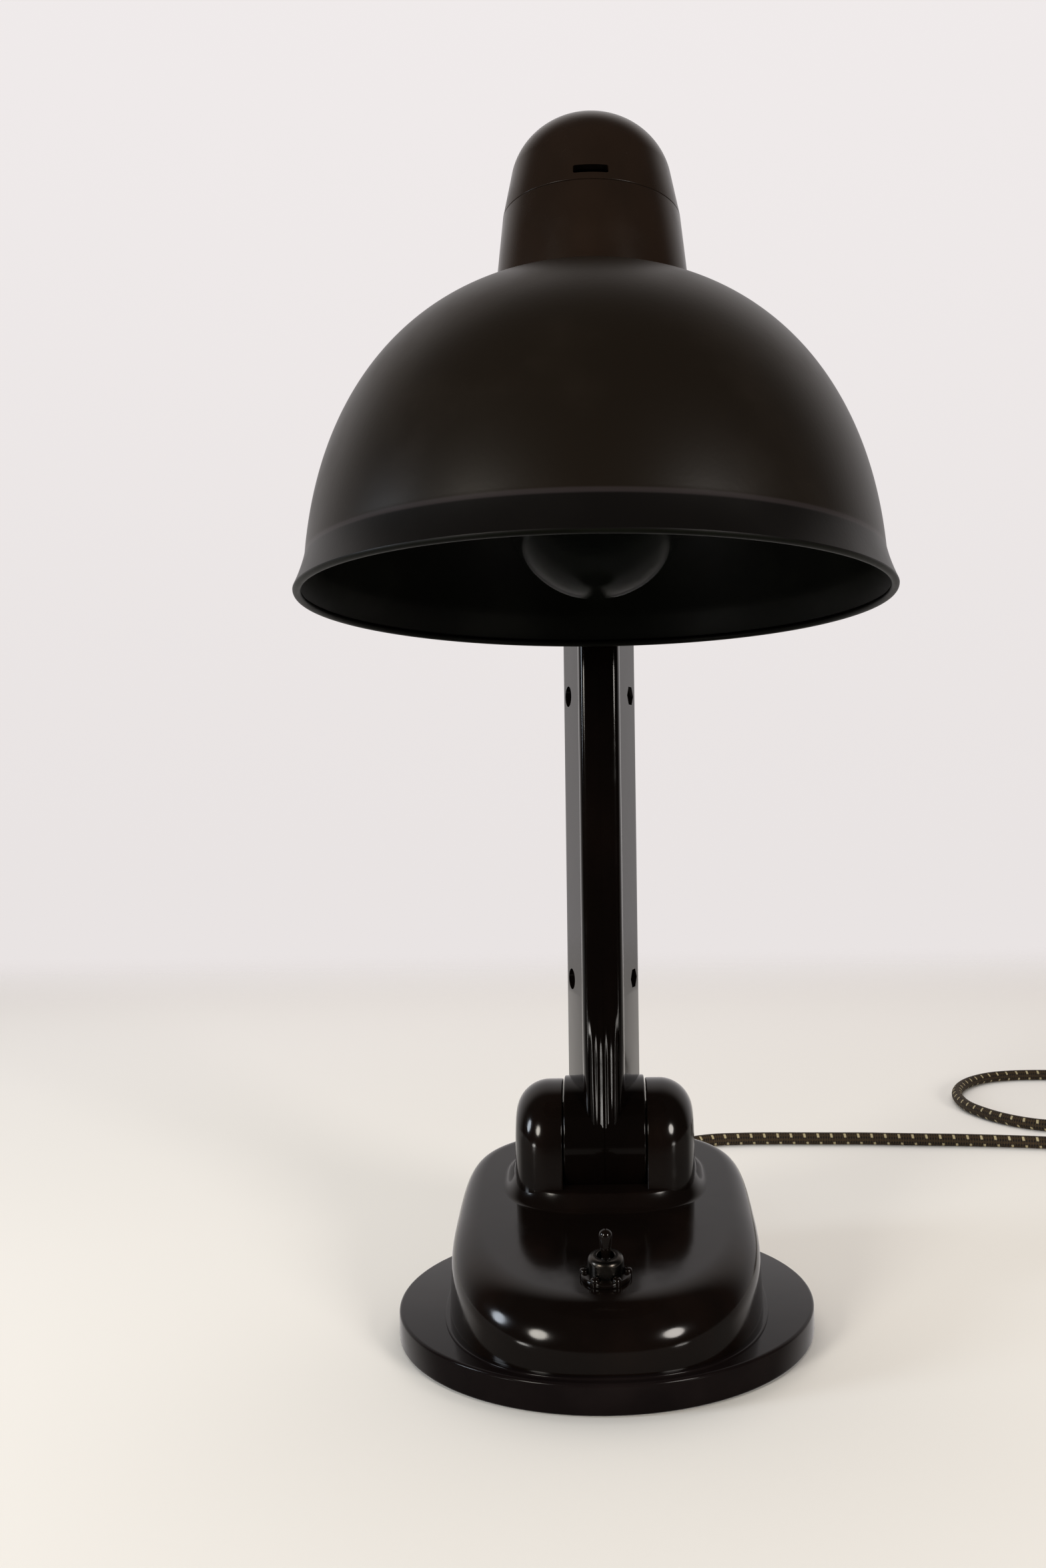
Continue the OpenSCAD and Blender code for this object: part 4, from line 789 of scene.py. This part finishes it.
def nose_point(s, near_foot=0.0):
    """A point of the nose. s runs from the nose's side, 0, to its middle, 1."""
    x = NOSE_HALF * (1 - s ** 3)
    flute = FLUTE_DEPTH * min(1, 3 * near_foot) * (1 - math.cos(math.tau * x / FLUTE_PITCH)) / 2
    reach = NOSE_FRONT - NOSE_EDGE + FLARE * near_foot ** 2
    power = NOSE_POWER - (NOSE_POWER - FOOT_NOSE_POWER) * near_foot ** 1.5
    front = -NOSE_EDGE - reach * (1 - (x / NOSE_HALF) ** power) ** (1 / power)
    return x, front + (flute if x < 1.5 * FLUTE_PITCH else 0)


def half_plan(z):
    """One half at a height: the parting face, the back, the flank and the nose."""
    near_foot = max(0, (FLARE_TOP_Z - z) / (FLARE_TOP_Z - LOWER_Z))
    flank = rounded([(PARTING_BACK, ARM_BACK), (ARM_HALF, ARM_BACK, BACK_EDGE), (*nose_point(0), 0)], 6)
    nose = [nose_point(s, near_foot) for s in np.linspace(0, 0.998, 150)]
    middle = [(0, nose_point(1, near_foot)[1] + PARTING_FRONT)]
    return [(x, y + HINGE_Y, z) for x, y in [(0, ARM_BACK - PARTING_BACK), *flank[:-1], *nose, *middle]]


def side_outline():
    """Side view: the nose stops short of the upper hinge, and a round cheek goes round it."""
    cheek = [(CHEEK_R * math.cos(t), UPPER_Z + CHEEK_R * math.sin(t)) for t in np.linspace(0, math.pi, 48)]
    clear_front = -NOSE_FRONT - 2 * FLARE
    return [(clear_front, LOWER_Z), (ARM_BACK + 0.01, LOWER_Z)] + cheek + [(clear_front, NOSE_END_Z)]


print("the nose ends", round(UPPER_Z - NOSE_END_Z), "mm under the upper hinge")

# %% Arm halves
BOLT_SEAT, NUT_SEAT = 12.4, 11.9
SCREW_HEIGHTS, SCREW_BACK, SCREW_RECESS_R, SCREW_SEAT = (134, 254.5), 7.5, 4.4, 8.6
FORK_HALF, FORK_FRONT, FORK_BACK, FORK_TOP = 6.5, -10, 50, UPPER_Z + 40


def arm_half(name, sides_of_recess, upper_recess):
    heights = [*np.linspace(LOWER_Z, FLARE_TOP_Z, 15), UPPER_Z + CHEEK_R + OVER]
    half = mesh_object(name, skin([half_plan(z) for z in heights]))
    side = skin([[(x, y + HINGE_Y, z) for y, z in side_outline()] for x in (-OVER, ARM_HALF + OVER)])
    cut(half, side, "INTERSECT")
    fork = [(-OVER, FORK_FRONT), (FORK_HALF, FORK_FRONT), (FORK_HALF, FORK_BACK), (-OVER, FORK_BACK)]
    cut(half, skin([[(x, y, z) for x, y in fork] for z in (FORK_FLOOR, FORK_TOP)]))
    for z in SCREW_HEIGHTS:
        cut(half, bar_x(SCREW_RECESS_R, SCREW_SEAT, ARM_HALF + OVER, sides_of_recess,
                        HINGE_Y + SCREW_BACK, z))
    cut(half, bar_x(*upper_recess, HINGE_Y, UPPER_Z))
    return half


right_half = arm_half("arm_half_right", 6, (BOLT_HEAD_R + CLEAR, BOLT_SEAT, ARM_HALF + OVER, 48))
left_half = arm_half("arm_half_left", 48, (NUT_R + CLEAR, NUT_SEAT, ARM_HALF + OVER, 6))
left_half.data.transform(Matrix.Scale(-1, 4, (1, 0, 0)))
left_half.data.flip_normals()
for piece, node in ((right_half, "arm_right"), (left_half, "arm_left")):
    finish_piece(piece, finishes["bakelite_arm_painted_shade"], "arm", "bakelite", node, sharp=13)

# %% [markdown]
# ## The knuckle
# The arm's foot is a drum that turns in the housing's slot, moulded in one with the halves. Each
# half of it is turned with broken edges, and a fine groove marks the parting face. It could be
# joined to the arm with a Boolean, but the two overlap inside, where nothing shows, and the knuckle's
# even shading is easier to keep when it stays a form of its own.

# %% Knuckle
KNUCKLE_R, KNUCKLE_HALF, KNUCKLE_BORE, KNUCKLE_EDGE, GROOVE = 24, 16.7, 3.1, 0.7, 0.2


def drum():
    edge = rounded([(KNUCKLE_BORE, GROOVE), (KNUCKLE_R - GROOVE, 0), (KNUCKLE_R, GROOVE),
                    (KNUCKLE_R, KNUCKLE_HALF, KNUCKLE_EDGE), (KNUCKLE_BORE, KNUCKLE_HALF)], 5)
    turned = lathe(edge + [(KNUCKLE_BORE, GROOVE)], 192)
    return moved(along_x(turned), Matrix.Translation((0, HINGE_Y, LOWER_Z)))


drum_right = mesh_object("arm_drum_right", drum())
drum_left = mesh_object("arm_drum_left", mirrored(drum()))
for piece in (drum_right, drum_left):
    finish_piece(piece, finishes["bakelite_arm_painted_shade"], "arm", "bakelite", sharp=28)

# %% [markdown]
# ## The shade
# Steel sheet spun over a former: a dome, a crease, then a hollow flare to a rolled rim. A sphere
# scaled flat would have no crease, so the outline is written as the dome's curve and the flare's,
# and the sheet is one millimetre thick. The head leans forward by two and a half degrees, so every
# piece of it is made upright and then placed. The dark inside is a second material on the faces that
# look inwards and on the rolled bead.

# %% Shade outline
in_head = Matrix.Translation(HEAD_PLACE) @ Matrix.Rotation(-HEAD_LEAN, 4, "X")
RIM_R, CREASE_R, CROWN_H, SHEET, BEAD_R, BEAD_TURN = 97, 93.3, 103.4, 1, 1.3, -1.15 * math.pi
DOME_R, SINK, POWER, HOLE_R, HOLLOW = CREASE_R * 1.0065, 6.8, 2.29, 20, 0.35
RISE = CROWN_H + SINK


def dome_h(r):
    return RISE * (1 - (r / DOME_R) ** POWER) ** (1 / POWER) - SINK


def flare_point(s):
    drawn_in = (1 + HOLLOW) * s - HOLLOW * s * s
    return RIM_R - (RIM_R - CREASE_R) * drawn_in, CREASE_H * s


def shade_outline(end_r):
    first = math.asin(((CREASE_H + SINK) / RISE) ** (POWER / 2))
    last = math.acos((end_r / DOME_R) ** (POWER / 2))
    return [flare_point(s) for s in np.linspace(0, 1, 14)] + [
        (DOME_R * math.cos(t) ** (2 / POWER), RISE * math.sin(t) ** (2 / POWER) - SINK)
        for t in np.linspace(first, last, 90)[1:]]


outer = np.array(shade_outline(HOLE_R))
slope = np.gradient(outer, axis=0)
inner = outer + SHEET * np.column_stack([-slope[:, 1], slope[:, 0]]) / np.linalg.norm(slope, axis=1)[:, None]
bead = [(RIM_R - BEAD_R + BEAD_R * math.cos(t), BEAD_R * math.sin(t))
        for t in np.linspace(0, BEAD_TURN, 14)]
section = [tuple(p) for p in inner[:1:-1]] + bead[::-1] + [tuple(p) for p in outer[1:]]
section.append(section[0])
print("the shade's section has", len(section), "points")

# %% Shade
INWARD_OF, INSIDE_FROM, BEAD_BELOW = Vector((0, 0, -40)), 1, -0.2
shade = mesh_object("spun_shade", moved(lathe(section[::-1], 256), in_head))
finish_piece(shade, [finishes["shade_paint"], inside.material], "head", "shade_paint", "shade", sharp=24)
upright = in_head.inverted()
for face in shade.data.polygons:
    centre, normal = upright @ (face.center / MM), upright.to_3x3() @ face.normal
    looks_in = normal.dot(centre - INWARD_OF) < 0
    if looks_in and centre.z > INSIDE_FROM or centre.z < BEAD_BELOW:
        face.material_index = 1

# %% [markdown]
# ## Neck, horn and cap
# The neck stands on the dome and carries the cap, which lifts off to reach the wires. The seam
# between them shows as a fine dark line. It could be painted, but two rounded edges that meet give
# it a true shadow. From the neck's back a horn reaches to the upper hinge and ends in a tongue
# between the arm's cheeks. The horn is a skin over soft boxes that change from the root's size to
# the tip's.

# %% Neck
SEAM_R, SEAM_H, SEAM_EDGE, NECK_FOOT_R, NECK_WALL = 29.4, 125.6, 0.25, 32.2, 3
NECK_BORE, LEDGE_TOP, LEDGE_LOW, FLOOR_TOP, FLOOR_LOW, ON_DOME = 24.9, 4, 6, 106, 105, 0.1
neck_in = SEAM_R - NECK_WALL
hole_edge = (HOLE_R, dome_h(HOLE_R) + ON_DOME)
under = [(r, dome_h(r) + ON_DOME, 0) for r in np.linspace(HOLE_R, NECK_FOOT_R - 0.5, 12)[1:]]
neck_section = rounded(
    [hole_edge, *under, (NECK_FOOT_R, dome_h(NECK_FOOT_R) + 1.5 * ON_DOME, 0.3),
     (SEAM_R, SEAM_H, SEAM_EDGE), (neck_in, SEAM_H, 0.1), (neck_in, SEAM_H - LEDGE_TOP, 0),
     (NECK_BORE, SEAM_H - LEDGE_LOW, 0), (NECK_BORE, FLOOR_TOP, 1), (HOLE_R, FLOOR_LOW, 0), hole_edge], 5)
neck = mesh_object("neck_sleeve", moved(lathe(neck_section[::-1], 192), in_head))
finish_piece(neck, finishes["bakelite_brown"], "head", "bakelite_brown", "neck", sharp=30)

# %% Horn
HORN_H, HORN_POWER, ROOT_HALF, TIP_HALF, INTO_TONGUE = 111.5, 4, (13, 10.5), (6, 12.5), 6
NARROW_Y = HINGE_Y - NOSE_FRONT - 2
root_y = HEAD_PLACE[1] + HORN_H * math.sin(HEAD_LEAN) + neck_in
root_z = HEAD_PLACE[2] + HORN_H * math.cos(HEAD_LEAN)


def horn_ring(share):
    """A rounded section across the horn, from its root, 0, to its tip, 1."""
    ease = share * share * (3 - 2 * share)
    y, z = root_y + (NARROW_Y - INTO_TONGUE - root_y) * share, root_z + (UPPER_Z - root_z) * ease
    half_w, half_h = (root + (tip - root) * ease for root, tip in zip(ROOT_HALF, TIP_HALF))
    return [(half_w * c, y, z + half_h * s) for c, s in (power_turn(t, HORN_POWER) for t in angles[::4])]


horn = mesh_object("neck_horn", skin([horn_ring(share) for share in np.linspace(0, 1, 24)]))
finish_piece(horn, finishes["bakelite_brown"], "head", "bakelite_brown", sharp=40)

# %% Tongue
TONGUE_HALF, TONGUE_R, TONGUE_NECK, TONGUE_END, TONGUE_PAST = 6, 14.2, 18, 32, 0.48
narrow = TONGUE_R * 0.88
tongue_side = [(0, -TONGUE_R), (-TONGUE_NECK, -narrow), (-TONGUE_END, -narrow), (-TONGUE_END, narrow)]
tongue_side += [(TONGUE_R * math.sin(t), TONGUE_R * math.cos(t))
                for t in np.linspace(-TONGUE_PAST, math.pi + TONGUE_PAST, 60)]
tongue = mesh_object("neck_tongue", skin([
    [(x, HINGE_Y + y, UPPER_Z + z) for y, z in tongue_side] for x in (-TONGUE_HALF, TONGUE_HALF)]))
finish_piece(tongue, finishes["bakelite_brown"], "head", "bakelite_brown", sharp=30)

# %% Cap
SKIRT_R, SKIRT_H, CAP_DOME, CAP_WALL, DOME_FROM, CAP_GAP = 26.8, 10.8, 23, 3, 0.2, 0.1
SLOT_W, SLOT_H, SLOT_EDGE, SLOT_ABOVE, SLOT_DEEP = 11.1, 2.75, 0.6, 2.4, 8
cap_z = SEAM_H + CAP_GAP


def cap_dome(t, wall):
    return (SKIRT_R - wall) * math.cos(t), SEAM_H + SKIRT_H + (CAP_DOME - wall) * math.sin(t)


outside = [(*cap_dome(t, 0), 0) for t in np.linspace(DOME_FROM, math.pi / 2, 48)]
outside = rounded([(SEAM_R - CAP_WALL, cap_z), (SEAM_R, cap_z, SEAM_EDGE)] + outside, 8)[:-1]
lining = [cap_dome(t, CAP_WALL) for t in np.linspace(math.pi / 2, 0, 24)]
cap_section = outside + [(0, SEAM_H + SKIRT_H + CAP_DOME)] + lining + [(SEAM_R - CAP_WALL, cap_z)]
cap = mesh_object("cap_dome", moved(lathe(cap_section, 192), in_head))
slot_side = rounded([(0, 0), (SLOT_W / 2, 0, SLOT_EDGE), (SLOT_W / 2, SLOT_H, SLOT_EDGE),
                     (-SLOT_W / 2, SLOT_H, SLOT_EDGE), (-SLOT_W / 2, 0, SLOT_EDGE), (0, 0)], 4)[:-1]
slot = skin([[(x, y, SEAM_H + SLOT_ABOVE + z) for x, z in slot_side]
             for y in (-SEAM_R - 2 * OVER, SLOT_DEEP - SEAM_R)])
for half_turn in (0, math.pi):
    cut(cap, moved(slot, in_head @ Matrix.Rotation(half_turn, 4, "Z")))
finish_piece(cap, finishes["bakelite_brown"], "head", "bakelite_brown", "cap", sharp=30)

# %% [markdown]
# ## The bulb
# Glass blown as a ball with a tapering neck. Only a thin glint of it shows under the rim, and a
# sphere would give that too, but the bulb also shows from below. The glass is a closed skin with a
# real wall. Its outline leaves the ball along a smooth bend, and one function draws it for the
# outside and again, one wall further in, for the inside.

# %% Bulb
BULB_R, BULB_H, GLASS_TOP, GLASS_NECK, GLASS_WALL = 30, 30, 77, 12.6, 0.9
BEND_EARLY, BEND_SLACK = 0.12, 0.8


def bulb_outline(shrink):
    r, neck_r = BULB_R - shrink, GLASS_NECK - shrink
    touch = math.atan2(GLASS_TOP - BULB_H, neck_r) - math.acos(r / math.hypot(neck_r, GLASS_TOP - BULB_H))
    below_bend = np.linspace(-math.pi / 2, touch - BEND_EARLY, 48)
    ball = [(r * math.cos(t), BULB_H + r * math.sin(t)) for t in below_bend]
    last_r, last_z = ball[-1]
    bend = [(last_r + (neck_r - last_r) * (3 * s * s - 2 * s ** 3) ** BEND_SLACK,
             last_z + (GLASS_TOP - last_z) * s) for s in np.linspace(0, 1, 24)[1:]]
    return ball + bend


glass_section = bulb_outline(0) + bulb_outline(GLASS_WALL)[::-1]
bulb = mesh_object("bulb_envelope", moved(lathe([(max(r, 0), z) for r, z in glass_section], 128), in_head))
finish_piece(bulb, finishes["glass"], "head", "glass", "bulb_glass", sharp=60)

# %% [markdown]
# ## Strain relief
# The rubber sleeve where the cord leaves the housing is ribbed, so that it bends evenly. An array of
# rings could make it, but the ribs get thinner towards the tip, so a loop writes them into one
# outline for the lathe.

# %% Gland
GLAND_Z, GLAND_IN, GLAND_TIP, GLAND_BORE, GLAND_R, GLAND_END_R = 22, 72.7, 99.7, 3.6, 6.4, 4.9
GLAND_HEAD, RIBS, FIRST_RIB, RIB_PITCH, RIB_TAPER = 8, 5, 8.6, 3.6, 0.32
RIB_SIDE = ((0, 0), (0, 2.0), (0.8, 2.5), (0.8, 3.1))
gland_length = GLAND_TIP - GLAND_IN
gland_outline = [(GLAND_BORE, 0), (GLAND_R, 0), (GLAND_R, GLAND_HEAD)]
for k in range(RIBS):
    r, foot = GLAND_R - RIB_TAPER * k, FIRST_RIB + RIB_PITCH * k
    gland_outline += [(r - deep, foot + z) for deep, z in RIB_SIDE]
gland_outline += [(GLAND_END_R, gland_length), (GLAND_BORE, gland_length), (GLAND_BORE, 0)]
in_back_wall = Matrix.Translation((0, GLAND_IN, GLAND_Z)) @ Matrix.Rotation(-math.pi / 2, 4, "X")
gland = mesh_object("cord_sleeve", moved(lathe(gland_outline, 64), in_back_wall))
finish_piece(gland, finishes["gland_rubber"], "base", "gland_rubber", "cord_gland", sharp=40)

# %% [markdown]
# ## CAD pieces that stay
# Screws, nuts, washers, the holder and the plug could be built again too, but they have true shapes
# already and are small or hidden. They keep their meshes and take the finish that the record's slot
# names.

# %% Finishes for the CAD pieces
for row in frame["record"]["subparts"]:
    node = frame["nodes"][row["node"]]
    if node.hide_render:
        continue
    node.data.materials.clear()
    node.data.materials.append(finishes[row["material_slot"]])
    node.data.shade_smooth()
    node.data.set_sharp_from_angle(angle=math.radians(30))
    print(node.name, "gets", row["material_slot"])

# %% [markdown]
# ## The floor
# The lamp stands on a warm white sheet. In front of the lamp, far behind it and far to its sides the
# sheet turns transparent, so that it passes into the backdrop without an edge. Reflections see the
# sheet only faintly near the lamp and in front of it, which keeps the resin black. A painted
# gradient could do the fading, but steps on the place's own coordinates, in metres, need no picture.

# %% Floor
FLOOR_HALF, FLOOR_Z = 6000, -0.02
floor_corners = [(x * FLOOR_HALF, y * FLOOR_HALF, FLOOR_Z) for x, y in ((-1, -1), (1, -1), (1, 1), (-1, 1))]
floor = mesh_object("floor", (floor_corners, [(0, 1, 2, 3)]))
sheet = Finish("floor", roughness=0.9)
floor_x, floor_y, _ = sheet.split(sheet.coordinates())
in_gloss = sheet.rays("Glossy") * (1 - floor_y.step(0.05, 0.35))
far_aside = sheet.rays("Camera") * (floor_x * floor_x).step(0.6, 1.7)
far_behind = floor_y.step(0.75, 1.25)
fade = 1 - (1 - in_gloss * 0.7) * floor_y.step(-0.30, -0.18) * (1 - far_behind) * (1 - far_aside)
near = sheet.mix(sheet.noise(300, 3), (0.80, 0.785, 0.75), (0.82, 0.805, 0.77))
sheet.set(Base_Color=sheet.mix(floor_y.step(0.1, 0.8), near, (0.94, 0.925, 0.91)))
see_through = sheet.tree.nodes.new("ShaderNodeBsdfTransparent")
blend = sheet.tree.nodes.new("ShaderNodeMixShader")
place(blend.inputs[0], fade)
sheet.tree.links.new(sheet.shader.outputs[0], blend.inputs[1])
sheet.tree.links.new(see_through.outputs[0], blend.inputs[2])
sheet.tree.links.new(blend.outputs[0], sheet.tree.nodes["Material Output"].inputs["Surface"])
floor.data.materials.append(sheet.material)
print("the sheet is", 2 * FLOOR_HALF * MM, "m wide")

# %% [markdown]
# ## Backdrop and room
# The camera, and what is seen through glass, has a pale backdrop, and so have reflections of what
# lies behind the lamp. Everything else sees a room that is bright behind the lamp and dark behind
# the camera. A plain white world would be simpler, but it would turn the front of the lamp grey.

# %% World
world = bpy.data.worlds.new("studio")
bpy.context.scene.world = world
world.use_nodes = True


class WorldFinish(Finish):
    """The same expressions for a world's nodes."""

    def __init__(self, world):
        self.tree = world.node_tree


sky = WorldFinish(world)
_, away_y, height = sky.split(sky.node("ShaderNodeTexCoord", output="Generated"))
behind = away_y.step(0.15, 0.8)
seen = sky.rays("Camera") + sky.rays("Transmission") + sky.rays("Glossy") * behind
backdrop = sky.mix(height.step(-0.1, 0.6), (0.815, 0.775, 0.770), (0.870, 0.830, 0.830))
bright = sky.mix(height.step(0.2, 0.65), (0.80, 0.73, 0.67), (1.30, 1.14, 1.01))
room = sky.mix(behind, (0.022, 0.021, 0.022), bright)
background = sky.tree.nodes["Background"]
place(background.inputs["Color"], sky.mix(seen, room, backdrop))
place(background.inputs["Strength"], 1.0)
print("nodes of the world:", len(sky.tree.nodes))

# %% [markdown]
# ## Lights
# Three windows light the lamp from the front, two on the left and one on the right, and show as
# small bright patches in the resin. Two small flat lights low in front add faint glints. A wide
# ceiling light, which no reflection shows, lights the sheet softly. Each light faces the lamp's
# base, so it could be aimed by hand, but two angles and a distance say more plainly where it stands.

# %% Lights
AIM = Vector((0, 0, 0.06))


def softbox(name, azimuth, elevation, distance, width, height, watts, colour):
    """An oval light with sizes in metres. Azimuth 0 is in front, and to the right is positive."""
    light = bpy.data.lights.new(name, "AREA")
    light.shape, light.size, light.size_y = "ELLIPSE", width, height
    light.energy, light.color = watts, colour
    made = bpy.data.objects.new(name, light)
    bpy.context.scene.collection.objects.link(made)
    a, e = math.radians(azimuth), math.radians(elevation)
    made.location = distance * Vector((math.sin(a) * math.cos(e), -math.cos(a) * math.cos(e), math.sin(e)))
    made.rotation_euler = (AIM - made.location).to_track_quat("-Z", "Y").to_euler()
    made.visible_camera = False
    return made


softbox("window_left", -76, 19, 1.5, 0.32, 0.46, 8, (0.82, 0.90, 1.0))
softbox("window_front_left", -39, 20, 1.5, 0.34, 0.46, 11, (1.0, 0.95, 0.86))
softbox("window_right", 38, 20, 1.5, 0.40, 0.46, 12, (1.0, 0.94, 0.88))
softbox("low_left", -52, -8, 1.5, 0.30, 0.10, 1.8, (1.0, 0.97, 0.93))
softbox("low_right", 44, -8, 1.5, 0.30, 0.10, 1.0, (1.0, 0.95, 0.90))
ceiling = softbox("ceiling", 180, 79, 2.1, 3.4, 3.4, 29, (1.0, 0.985, 0.97))
ceiling.visible_glossy = False
bpy.context.scene.view_settings.view_transform = "Standard"
print("lights:", [light.name for light in bpy.data.lights])
